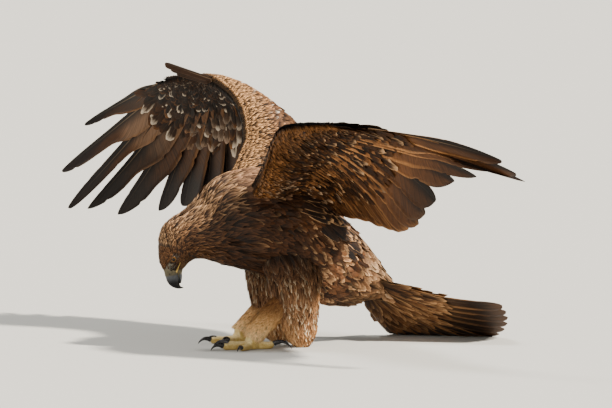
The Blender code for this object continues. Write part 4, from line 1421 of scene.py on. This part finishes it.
def wing_coat(side, face, name, pick):
    """Coverts on one face of one wing."""
    surface = CovertSurface(side, face, 2.2 * MM)
    coat = Coat()
    under, strip = name == "under", (side, name) == ("right", "upper")
    sizes, zones = (strip_size, STRIP_ZONES) if strip else (covert_size, COVERT_ZONES)
    for zone, pitch, shape, columns, rise, roll in zones:
        a, b = scatter(surface, zone, (-17.4 / SPAN, 10.2 / SPAN), sizes, pitch)
        # The left arm's front edge carries longer feathers that lie along it.
        edge = (side, name) == ("left", "upper") and zone[0] == 0
        clear = b < (6.5 if edge else 9.7) / SPAN
        a, b = np.clip(a[clear], 0.0, 1.02), b[clear]
        feather = b * SPAN
        length, width = sizes(a)
        width = width * (1 - 0.45 * smoothstep(8, 9.7, feather))
        along = 0.3 if side == "left" else 0.1
        along = along * under * smoothstep(8, 5, feather)
        if under:
            length = length * (1 - 0.28 * smoothstep(2, -4, feather) * smoothstep(0.5, 0.9, a))
        if edge:
            longer = smoothstep(-5, -1, feather)
            length, along = length * (1 + longer), 2.5 * longer
            rise, roll = 0.6 * MM, 0.1
        else:
            length = length * (1 - 0.12 * smoothstep(0, 6, feather))
        lay_vanes(coat, surface, a, b, length, width, pick(side),
                  unwrap_over((-0.05, 1.1), (-17.6 / SPAN, 10.6 / SPAN)), shape=shape,
                  columns=columns, sink=0.0032, rise=rise, cup=0.2, roll=roll, ragged=0.15,
                  towards=spanwise(side, along[:, None]))
    look = FEATHER_STRIP if strip else FEATHER_WING
    coat.build(f"coat_wing_{side}_{name}", look, "body_feathers")


def wing_coats():
    """Coverts on both faces of both wings."""
    for side in SIDES:
        wing_coat(side, 1, "upper", upper_colours)
        wing_coat(side, -1, "under", under_colours)


# Bill, eyes, feet


def horn_material():
    """Bill: blue-grey at the base, black at the tip, with fine growth lines."""
    n = Nodes("bill_horn")
    mark, where = n.colour("base"), n.place()
    grain, cloud = n.noise(where, 900.0, 4.0), n.noise(where, 160.0)
    colour = n.mix(n.ramp(cloud, 0.3, 0.7, 0.0, 0.3), mark, (0.012, 0.012, 0.014))
    return n.finish(Base_Color=colour, Roughness=n.ramp(cloud, 0.3, 0.7, 0.26, 0.4),
                    Normal=n.bump(grain, 0.2, 0.0003), Specular_IOR_Level=0.22)


# Outlines across the bill in the median plane: upper edge, lower edge and half width, in mm.
UPPER_BILL = [
    ((-181.5, 165), (-146, 164), 12.2),
    ((-179.6, 159.6), (-150.2, 158.5), 10.7),
    ((-177.6, 150.5), (-148.8, 149.5), 9.6),
    ((-174.2, 140.7), (-147.6, 142), 8.2),
    ((-167.2, 132.2), (-147.2, 136.5), 6.4),
    ((-157.4, 127), (-146.2, 132.6), 4.5),
    ((-147.3, 125.2), (-142.9, 129.4), 2.8),
    ((-138.2, 126.6), (-138.6, 128.4), 0.8),
]
LOWER_BILL = [
    ((-151.5, 166), (-141.5, 166), 10.4),
    ((-151, 158.9), (-143.0, 159.3), 9.2),
    ((-148.4, 149.4), (-142.5, 149.9), 7.6),
    ((-147.4, 141.5), (-143.5, 141.9), 5.8),
    ((-146.6, 136.7), (-144.4, 136.9), 3),
]
NOSTRIL = (9.8, -172.5, 156.0)


def powered(value, power):
    """A power that keeps the sign."""
    return np.sign(value) * np.abs(value) ** power


def bill_loft(sections, rows, count, rise_power, wide_power):
    """A bill's points, ring by ring, its rings' middles, the share down the bill and the height
    round each ring. wide_power is for the upper and the lower half."""
    at = np.linspace(0, len(sections) - 1, rows)
    top, bottom, half = (keyed(listed(sections, field), at) for field in range(3))
    turn = CIRCLE * np.arange(count) / count
    high, aside = np.cos(turn), np.sin(turn)
    centre, rise = (np.insert(v, 0, 0, axis=1)[:, None] for v in ((top + bottom) / 2, (top - bottom) / 2))
    points = centre + rise * powered(high, rise_power)[:, None]
    points[..., 0] += half * powered(aside, np.where(high > 0, *wide_power))
    return points, centre, (at / at[-1])[:, None], high[None]


def at_nostril(points, sign, *size):
    """How far points lie from a nostril's middle, by its size in mm."""
    return np.linalg.norm((points / MM - np.array(NOSTRIL) * (sign, 1, 1)) / size, axis=2)


def build_bill():
    """Upper bill with cere and hook, and lower bill."""
    horn = horn_material()
    grey, black, yellow = (0.028, 0.031, 0.038), (0.005, 0.005, 0.006), (0.098, 0.082, 0.046)
    rows, count = 60, 40
    # A ridged culmen above and a straight cutting edge below.
    points, centre, t, high = bill_loft(UPPER_BILL, rows, count, 0.9, (1.15, 0.7))
    # The cere reaches farther down over the ridge than on the sides.
    cere = smoothstep(0.0, 0.05, 0.245 + 0.05 * high - t)
    points = centre + (points - centre) * (1 + 0.05 * cere)[..., None]
    # Nostrils: an oval pit on each side of the cere.
    for sign in SIDES.values():
        pit = np.exp(-(at_nostril(points, sign, 6, 1.7, 2.7) ** 2))
        points[..., 0] -= sign * 2.2 * MM * pit * (np.sign(points[..., 0]) == sign)
    colour = blend((0.072, 0.078, 0.090), grey, smoothstep(0.28, 0.45, t))
    colour = blend(colour, black, smoothstep(0.32, 0.52, t))
    colour = blend(colour, black, smoothstep(0.35, 0.5, t) * smoothstep(0.0, -0.9, high))
    colour = blend(colour, yellow, cere)
    colour = blend(colour, (0.105, 0.090, 0.058), smoothstep(0.14, 0.0, t) * 0.6)
    lips = smoothstep(-0.75, -0.97, high) * smoothstep(0.4, 0.2, t)
    colour = blend(colour, (0.42, 0.31, 0.09), lips)
    # The nostrils' openings are painted nearly black: painted shade in the pits.
    for sign in SIDES.values():
        pit = np.exp(-(at_nostril(points, sign, 6, 1.4, 2.3) ** 4))
        colour = blend(colour, (0.01, 0.008, 0.006), pit)
    new_mesh("bill_upper_horn", points, grid_faces(rows, count, True), horn, "bill", ["bill_upper"],
             base=opaque(colour, rows, count))

    rows, count = 30, 32
    points, centre, t, high = bill_loft(LOWER_BILL, rows, count, 0.7, (0.8, 0.8))
    colour = blend(np.array(yellow) * 1.3, (0.10, 0.11, 0.125), smoothstep(0.25, 0.4, t))
    colour = blend(colour, black, smoothstep(0.55, 0.9, t))
    new_mesh("bill_lower_horn", points, grid_faces(rows, count, True), horn, "bill", ["bill_lower"],
             base=opaque(colour, rows, count))


def eye_material():
    """Amber iris with a black pupil, under a clear wet surface."""
    n = Nodes("eye")
    radius, angle, _ = n.numbers("base")
    rays = n.combine(n.times(angle, 34.0), n.times(radius, 3.0), 0.0)
    rays = n.noise(rays, 1.0, 4.0, 0.7)
    iris = n.mix(n.ramp(rays, 0.3, 0.7), (0.062, 0.026, 0.007), (0.18, 0.088, 0.022))
    iris = n.mix(n.ramp(radius, 0.72, 0.98), iris, (0.03, 0.012, 0.004))
    colour = n.mix(n.ramp(radius, 0.37, 0.43), (0.002, 0.002, 0.002), iris)
    colour = n.mix(n.ramp(radius, 1.0, 1.12), colour, (0.02, 0.012, 0.008))
    return n.finish(Base_Color=colour, Roughness=0.1, Coat_Weight=0.12, Coat_Roughness=0.02,
                    Specular_IOR_Level=0.15)


def lid_material():
    """Bare grey skin of the lids and lores, finely wrinkled."""
    n = Nodes("eyelid_skin")
    fold = n.noise(n.place(), 900.0, 4.0, 0.7)
    tone = n.ramp(fold, 0.3, 0.7, 0.7, 1.3)
    return n.finish(Base_Color=n.toned(n.colour("base"), tone), Roughness=0.55,
                    Normal=n.bump(fold, 0.6, 0.0006))


EYEBALL = 9.8 * MM
# Across a lid: how far out from the opening, how high over the ball, and its shade.
LID_PROFILE = [
    (0.0, -0.9, 0.012), (0.0, 0.15, 0.012), (0.3, 0.55, 0.015), (0.6, 0.65, 0.05), (0.95, 0.5, 0.09),
    (1.3, 0.25, 0.035), (1.7, 0.45, 0.085), (2.1, 0.3, 0.11), (2.6, -0.4, 0.08), (3.3, -1.6, 0.05),
    (4.2, -3.2, 0.03),
]


def from_middle(centre, *arms):
    """Places from an eye's middle: each arm is a direction and how far to go in it."""
    return centre + sum(far[..., None] * direction for direction, far in arms)


def build_eyeball(side, centre, axes, material):
    """One eyeball, with a bulging cornea."""
    look, up, ahead = axes
    rings, count = 30, 48
    polar = np.linspace(0.02, math.pi * 0.98, rings)[:, None]
    turn = (CIRCLE * np.arange(count) / count)[None]
    radius = EYEBALL * (1 + 0.07 * bell(polar, 0.6))
    out = radius * np.cos(polar) * np.ones_like(turn)
    aside = radius * np.sin(polar)
    points = from_middle(centre, (look, out), (up, aside * np.cos(turn)), (ahead, aside * np.sin(turn)))
    # The iris reads how far each point lies from the pupil's middle and its turn.
    mark = np.ones((rings, count, 4))
    mark[..., 0], mark[..., 1] = polar / 0.84, np.abs(turn / np.pi - 1)
    new_mesh(f"eyeball_{side}", points, grid_faces(rings, count, True), material, "eyes",
             [f"eye_{side}"], base=mark)


def build_lids(side, centre, axes, material):
    """Lids from the wet edge on the ball out under the face feathers. Turn 0 is the brow's side."""
    look, up, ahead = axes
    rings, count = len(LID_PROFILE), 72
    turn = CIRCLE * np.arange(count) / count
    cos, sin = np.cos(turn), np.sin(turn)
    half_height, half_length = np.where(cos > 0, 5.4, 6.6), 7.9
    opening = 1 / np.hypot(cos / half_height, sin / half_length) + 0.9 * bell(turn - 1.45, 0.22)
    out, height, tone = np.array(LID_PROFILE).T[..., None]
    r = (opening + out * np.where(cos > 0.2, 0.8, 1.0)) * MM
    depth = np.sqrt(np.maximum(EYEBALL**2 - np.minimum(r, EYEBALL * 0.93) ** 2, 0)) + height * MM
    depth = depth + np.maximum(r - EYEBALL * 0.86, 0) * 0.25
    points = from_middle(centre, (look, depth), (up, r * cos), (ahead, r * sin))
    shade = (tone * (0.75 + 0.55 * np.clip(-sin, 0, 1)))[..., None] * (0.75, 0.52, 0.34)
    new_mesh(f"eyelids_{side}", points, grid_faces(rings, count, True), material, "body_feathers",
             base=opaque(shade, rings, count))


def build_eyes():
    """Eyeballs with lids, under a jutting brow."""
    ball, lid = eye_material(), lid_material()
    for side, sign in SIDES.items():
        centre = np.array((17.8, EYE[1], EYE[2])) * (sign, 1, 1) * MM
        # The eye looks out to the side, and a little towards the bill.
        look = unit(np.array((sign * 0.96, -0.10, -0.24)))
        ahead = unit(BILL_AHEAD - look * (look @ BILL_AHEAD))
        up = np.cross(ahead, look) * sign
        if up @ (0, -1, 0) < 0:
            up = -up
        build_eyeball(side, centre, (look, up, ahead), ball)
        build_lids(side, centre, (look, up, ahead), lid)


class BrowSurface(Surface):
    """The bony ridge over an eye, as a tube. a is the share of its length and b the turn."""

    # By the share of its length: ahead of the eye, above it and out from the middle, in mm.
    LINE = {
        0.0: (-23, 0.5, 24.0), 0.2: (-14, 3.4, 26.4), 0.4: (-5.5, 5.9, 27.4), 0.6: (2.5, 7.8, 26.2),
        0.78: (8.5, 9.4, 23.0), 0.9: (12.5, 10.8, 19.6), 1.0: (15.5, 12.0, 16.0),
    }
    SIDE_RADIUS, UP_RADIUS = 2.3 * MM, 3.0 * MM

    def __init__(self, sign):
        self.sign = sign

    def inner(self, a, b):
        local = keyed(self.LINE, a) * MM
        middle = np.array((0, EYE[1], EYE[2])) * MM + local[:, :1] * BILL_AHEAD + local[:, 1:2] * BILL_UP
        middle[:, 0] = local[:, 2] * self.sign
        return middle

    def point(self, a, b):
        a, turn = np.asarray(a, float), CIRCLE * np.asarray(b)
        slim = np.sqrt(np.clip(1 - np.abs(2 * a - 1) ** 3, 0.02, 1))
        points = self.inner(a, b) + (self.UP_RADIUS * slim * np.sin(turn))[:, None] * BILL_UP
        points[:, 0] += self.SIDE_RADIUS * slim * np.cos(turn) * self.sign
        return points


def bristle_colours(points, seeds, a, b):
    """Dark hair-like bristles."""
    colour = np.tile(np.array((0.014, 0.010, 0.008)), (len(seeds), 1))
    return colour, colour * 1.5


def brow_lie(points, lie, normal):
    """Feathers over the brow point away from the bill."""
    return -lie * 0.9 + np.array((0, -0.35, 0.1))


def build_gape(side, sign, material):
    """The mouth's corner: a low fleshy edge on the face, from under the eye to the bill."""
    rows, count = 36, 12
    a = np.linspace(0.02, 2.15, rows)
    b = np.full(rows, 0.283 if sign > 0 else 0.717)
    line, normal, _, _ = HeadSurface().frame(a, b)
    along = unit(np.cross(normal, np.gradient(line, axis=0)))
    slim = np.sqrt(np.clip(1 - ((a - 0.6) / 1.56).clip(0, 1) ** 2, 0.03, 1)) * MM * (1.3 - 0.4 * a)
    slim = (slim * np.sqrt(np.clip(a / 0.35, 0.08, 1)) * 1.2)[:, None, None]
    turn = (CIRCLE * np.arange(count) / count)[:, None]
    points = (line - normal * 0.35 * MM)[:, None] + normal[:, None] * slim * np.cos(turn)
    points = points + along[:, None] * slim * np.sin(turn) * 1.35
    new_mesh(f"gape_{side}", points, grid_faces(rows, count, True), material, "bill",
             base=opaque((0.56, 0.36, 0.085), rows, count))


def build_face():
    """The bony brows over the eyes, feathered on top, and the yellow corners of the mouth."""
    lids = lid_material()
    coat = Coat()
    for side, sign in SIDES.items():
        brow, rows, count = BrowSurface(sign), 40, 20
        a = np.repeat(np.linspace(0, 1, rows), count)
        points = brow.point(a, np.tile(np.arange(count) / count, rows))
        new_mesh(f"brow_{side}", points, grid_faces(rows, count, True), lids, "body_feathers",
                 base=opaque((0.040, 0.027, 0.018), rows, count))
        b = rng.uniform(-0.06, 0.42, 420)
        a = rng.uniform(0.02, 0.97, 420)
        lay_vanes(coat, brow, a, b, 0.0058, 0.0026, head_colours, unwrap_over((0, 1), (-0.1, 0.5)),
                  shape="tuft", sink=0.0008, rise=0.0006, jitter=0.15, cup=0.2, stiff=0.85,
                  towards=brow_lie)
        build_gape(side, sign, lids)
        # Bristles over the bare lores.
        surface = HeadSurface()
        a = rng.uniform(0.35, 1.9, 150)
        b = (0.25 + rng.uniform(-0.09, 0.03, 150)) * sign % 1.0
        bare = np.hypot(*about_eye(surface.point(a, b))) > 9.5 * MM
        bare = bare & (np.abs(b % 0.5 - 0.25) < 0.12)
        lay_vanes(coat, surface, a[bare], b[bare], 0.0045, 0.0006, bristle_colours,
                  unwrap_over((0, 3.2), (0, 1)), shape="wisp", sink=0.0005, rise=0.0014, jitter=0.35,
                  cup=0.1)
    coat.build("coat_brows", FEATHER_SMALL, "body_feathers")


def toe_material():
    """Yellow toes: broad scutes on top, small scales on the sides; the tops are paler, partly their own
    colour and partly painted light from above.
    """
    n = Nodes("toe_skin")
    where = n.place()
    along, topness, _ = n.numbers("base")
    cells = n.new("ShaderNodeTexVoronoi", {"Vector": where, "Scale": 620.0}, feature="DISTANCE_TO_EDGE")
    small = n.ramp(cells.outputs["Distance"], 0.0, 0.15)
    wander = n.noise(where, 180.0, 2.0)
    phase = n.plus(n.times(along, 25.0), n.times(wander, 0.5))
    fold = n.math("ABSOLUTE", n.math("SUBTRACT", n.math("FRACT", phase), 0.5))
    plates = n.ramp(fold, 0.5, 0.36)
    seam = n.mix(n.ramp(topness, 0.4, 0.6), small, plates)
    cloud = n.noise(where, 140.0, 4.0)
    colour = n.mix(n.ramp(cloud, 0.3, 0.7), (0.70, 0.46, 0.10), (0.92, 0.72, 0.28))
    colour = n.mix(seam, (0.52, 0.32, 0.075), colour)
    # The tops are mixed a third of the way to pale yellow: partly their own colour, partly painted light
    # from above.
    colour = n.mix(n.times(topness, 0.35), colour, (0.95, 0.84, 0.52))
    return n.finish(Base_Color=colour, Roughness=0.42, Normal=n.bump(seam, 0.8, 0.0008))


def claw_material():
    """Black horn with faint lengthwise lines."""
    n = Nodes("claw_horn")
    cloud = n.noise(n.place(), 240.0, 4.0)
    colour = n.mix(n.ramp(cloud, 0.3, 0.75), (0.008, 0.008, 0.009), (0.035, 0.033, 0.034))
    return n.finish(Base_Color=colour, Roughness=n.ramp(cloud, 0.3, 0.7, 0.22, 0.36),
                    Normal=n.bump(cloud, 0.2, 0.0004))


# The lowest points of the feet lie this far over the floor.
SOLE = 0.2 * MM


def crosswise(heading):
    """The level direction across a level one."""
    return np.array((heading[1], -heading[0], 0))


def tube_round(path, pitch, heading, half_x, half_z, count):
    """Rings round a path in an upright plane, flattened at the sole."""
    upright = np.array((0, 0, 1.0)) * np.cos(pitch)[:, None] - heading * np.sin(pitch)[:, None]
    turn = (CIRCLE * np.arange(count) / count)[:, None]
    points = path[:, None] + crosswise(heading) * half_x[:, None, None] * np.cos(turn)
    points = points + upright[:, None] * half_z[:, None, None] * np.sin(turn)
    points[..., 2] = np.maximum(points[..., 2], SOLE)
    return points


def toe_headings(sign):
    """Each toe's name, direction, length, half width and claw's length."""
    for name, (turned, length, half, claw) in TOES.items():
        angle = math.radians(turned)
        heading = np.array((math.sin(angle) * sign, -math.cos(angle), 0))
        yield name, heading, length * MM, half * MM, claw * MM


def foot_marks(points, centre, sign):
    """The toe skin's colour layer: how far along its toe each point lies, and how much on top."""
    mark = np.zeros((len(points), 4))
    mark[:, 3] = 1
    nearest = np.full(len(points), 1.0)
    gone = points - centre
    for _, heading, _, half, _ in toe_headings(sign):
        ahead, aside = gone @ heading, np.abs(gone @ crosswise(heading))
        better = (ahead > 0) & (aside < nearest)
        nearest = np.where(better, aside, nearest)
        high = smoothstep(0.5, 0.95, gone[:, 2] / half * 0.62)
        top = high * smoothstep(half * 0.95, half * 0.6, aside) * smoothstep(0.008, 0.014, ahead)
        mark[better, 0], mark[better, 1] = ahead[better] * 10, top[better]
    return mark


def palm_shape(centre):
    """The palm as a turned shape, narrower at the top, inside the shank's feathers."""
    heights, count = np.linspace(0.3, 34, 12), 24
    radii = np.interp(heights, list(PALM), list(PALM.values())) * 0.98
    radii[-3:] = (12.5, 12, 11.5)
    turn = CIRCLE * np.arange(count) / count
    ring = np.column_stack([np.cos(turn), np.sin(turn), np.zeros(count)])
    points = centre + ring * (radii * MM)[:, None, None]
    points[..., 2] = heights[:, None] * MM
    return points.reshape(-1, 3), capped_faces(len(heights), count)


def toe_shape(centre, heading, reach, end_height, half, knuckles):
    """One toe, thinner outwards, with swollen knuckles and a blunt end under the claw's base."""
    rows, count = 60, 24
    t = np.linspace(0, 1, rows)
    thick = half * (1 - 0.2 * t)
    path = centre + heading * (reach * t)[:, None]
    path[:, 2] = thick * 0.8 + (end_height - thick * 0.8) * t**3
    blunt = 1.15 * half / reach
    thick = thick * (1 + 0.075 * np.cos(CIRCLE * (t * knuckles + 0.1)))
    thick = thick * np.sqrt(np.clip(1 - ((t - 1 + blunt) / blunt).clip(0, 1) ** 2, 0.02, 1))
    points = tube_round(path, np.zeros(rows), heading, thick * 0.95, thick, count)
    return points.reshape(-1, 3), capped_faces(rows, count)


def build_claw(name, start, heading, half, claw, material):
    """One claw: an arc that comes down to the floor, thinner to its tip."""
    rows, count = 36, 20
    t = np.linspace(0, 1, rows)
    pitch = math.radians(CLAW_LIFT) - math.radians(CLAW_SWEEP) * t
    ahead = heading * np.cos(pitch)[:, None] + np.array((0, 0, 1.0)) * np.sin(pitch)[:, None]
    path = start + np.cumsum(ahead, axis=0) * (claw + 2 * MM) / rows
    thick = half * 0.58 * (1 - t) ** 0.8 + 0.35 * MM
    thick[-1] = 0.1 * MM
    points = tube_round(path, pitch, heading, thick * 0.78, thick, count)
    new_mesh(f"claw_horn_{name}", points, grid_faces(rows, count, True), material, "claws",
             [f"claw_{name}"])


def build_feet():
    """Scaled toes joined to the palm, and curved claws."""
    skin, horn = toe_material(), claw_material()
    sweep, lift = math.radians(CLAW_SWEEP), math.radians(CLAW_LIFT)
    for side, sign in SIDES.items():
        x, y = FOOT_CENTRE[side]
        centre = np.array((x * sign, y, 0)) * MM
        shapes = [palm_shape(centre)]
        for name, heading, length, half, claw in toe_headings(sign):
            reach = length + PALM[10] * MM
            end_height = claw / sweep * (math.cos(lift) - math.cos(lift - sweep)) + 0.9 * MM
            knuckles = 3 if name == "middle" else 2
            shapes.append(toe_shape(centre, heading, reach, end_height, half, knuckles))
            start = centre + heading * (reach - 2.5 * MM) + np.array((0, 0, end_height))
            build_claw(f"{side}_{name}", start, heading, half, claw, horn)
        points, faces = remeshed(shapes, 1.1 * MM)
        points[:, 2] = np.maximum(points[:, 2], SOLE)
        new_mesh(f"foot_skin_{side}", points, faces, skin, "toes", [f"foot_{side}"],
                 base=foot_marks(points, centre, sign))


# Camera, light and floor


# The photograph's view: the camera's angles, how far away it stands, how wide it sees, and how far
# right of the place between the feet and above it the picture's middle lies.
VIEW_AZIMUTH, VIEW_ELEVATION = 68.0, 4.0
VIEW_DISTANCE, VIEW_WIDTH = 12.0, 1.2852
VIEW_MIDDLE = (0.128, 0.298)
# Each light: its direction to the right, up and to the camera, strength, size and colour.
SUNS = {
    "key": ((0.58, 0.70, 0.40), 8.5, 5, (1.0, 0.90, 0.78)),
    "fill": ((-0.35, 0.3, 0.85), 0.9, 40, (1.0, 0.93, 0.85)),
    "rim": ((-0.4, 0.85, -0.1), 1.8, 15, (1.0, 0.95, 0.90)),
}
SKY_COLOUR, SKY_STRENGTH = (0.90, 0.885, 0.86, 1), 0.42
FLOOR_COLOUR, FLOOR_HALF = (0.62, 0.63, 0.6, 1), 60.0


def build_stage():
    """The camera at the photograph's angle, soft light and a plain pale floor."""
    scene = bpy.context.scene
    azimuth, elevation = math.radians(VIEW_AZIMUTH), math.radians(VIEW_ELEVATION)
    right = np.array((math.cos(azimuth), math.sin(azimuth), 0))
    back = np.array((right[1], -right[0], 0)) * math.cos(elevation)
    back = back + np.array((0, 0, math.sin(elevation)))
    up = np.cross(back, right)
    target = right * VIEW_MIDDLE[0] + up * VIEW_MIDDLE[1] - PLAN_CENTRE
    data = bpy.data.cameras.new("camera")
    data.sensor_width = 36.0
    data.lens = data.sensor_width * VIEW_DISTANCE / VIEW_WIDTH
    data.clip_start, data.clip_end = 0.1, 200.0
    camera = bpy.data.objects.new("camera", data)
    scene.collection.objects.link(camera)
    place = np.eye(4)
    place[:3] = np.column_stack([right, up, back, target + back * VIEW_DISTANCE])
    camera.matrix_world = Matrix(place)
    scene.camera = camera

    for name, (direction, strength, size, colour) in SUNS.items():
        light = bpy.data.lights.new(name, "SUN")
        light.energy, light.angle, light.color = strength, math.radians(size), colour
        lamp = bpy.data.objects.new(name, light)
        scene.collection.objects.link(lamp)
        towards = np.column_stack([right, up, back]) @ direction
        lamp.rotation_mode = "QUATERNION"
        lamp.rotation_quaternion = Vector(towards).to_track_quat("Z", "Y")

    world = bpy.data.worlds.new("studio")
    scene.world = world
    world.use_nodes = True
    sky = world.node_tree.nodes["Background"]
    sky.inputs["Color"].default_value = SKY_COLOUR
    sky.inputs["Strength"].default_value = SKY_STRENGTH
    mesh = bpy.data.meshes.new("floor")
    corners = [(x * FLOOR_HALF, y * FLOOR_HALF, 0) for x, y in ((-1, -1), (1, -1), (1, 1), (-1, 1))]
    mesh.from_pydata(corners, [], [(0, 1, 2, 3)])
    mesh.materials.append(Nodes("floor").finish(Base_Color=FLOOR_COLOUR, Roughness=0.9))
    floor = bpy.data.objects.new("floor", mesh)
    scene.collection.objects.link(floor)


# Looks of the feathers


QUILL = feather_material("flight_feather", barbs=120.0, shaft=0.035, shaft_pale=0.3, gloss=0.42,
                         rim=(0.82, 1.1), glint=0.12, streak_depth=0.55)
TAIL_QUILL = feather_material("tail_feather", barbs=120.0, shaft=0.035, shaft_pale=0.2, gloss=0.45,
                              bars=0.5, rim=(0.6, 1.0), glint=0.12, streak_depth=0.5)
FEATHER = feather_material("contour_feather", barbs=34.0, shaft=0.05, shaft_pale=0.1, gloss=0.6,
                           rim=(0.4, 1.15), shade=(0.3, 0.9, 0.25), streak_depth=0.5)
FEATHER_WING = feather_material("wing_covert", barbs=34.0, shaft=0.05, shaft_pale=0.12, gloss=0.5,
                                rim=(0.5, 1.0), shade=(0.35, 0.85, 0.25), glint=0.09)
FEATHER_STRIP = feather_material("arm_covert", barbs=22.0, shaft=0.08, shaft_pale=0.05, gloss=0.55,
                                 rim=(0.3, 0.75), shade=(0.4, 0.9, 0.12))
FEATHER_SHANK = feather_material("shank_feather", barbs=18.0, shaft=0.08, shaft_pale=0.05, gloss=0.6,
                                 rim=(0.3, 0.9), shade=(0.3, 0.8, 0.4))
QUILL_SMALL = feather_material("scapular", barbs=60.0, shaft=0.04, shaft_pale=0.15, gloss=0.42,
                               rim=(0.8, 0.98), shade=(0.2, 0.6, 0.5), glint=0.2)
FEATHER_HACKLE = feather_material("hackle", barbs=26.0, shaft=0.07, shaft_pale=0.06, gloss=0.52,
                                  rim=(0.3, 0.85), shade=(0.35, 0.88, 0.2), glint=0.18)
FEATHER_SMALL = feather_material("small_feather", barbs=14.0, shaft=0.08, shaft_pale=0.05, gloss=0.6,
                                 rim=(0.35, 0.95), shade=(0.3, 0.88, 0.25))


# The eagle, piece by piece


build_skin()
for side in SIDES:
    wing_quills(side, 1, 10, "primaries", 0.2)
    wing_quills(side, -13, 0, "secondaries", 0.3)
    wing_quills(side, -17, -14, "tertials", 0.3)
    alula_quills(side)
tail_quills()
body_coats()
leg_coats()
wing_coats()
build_bill()
build_eyes()
build_face()
build_feet()
build_stage()
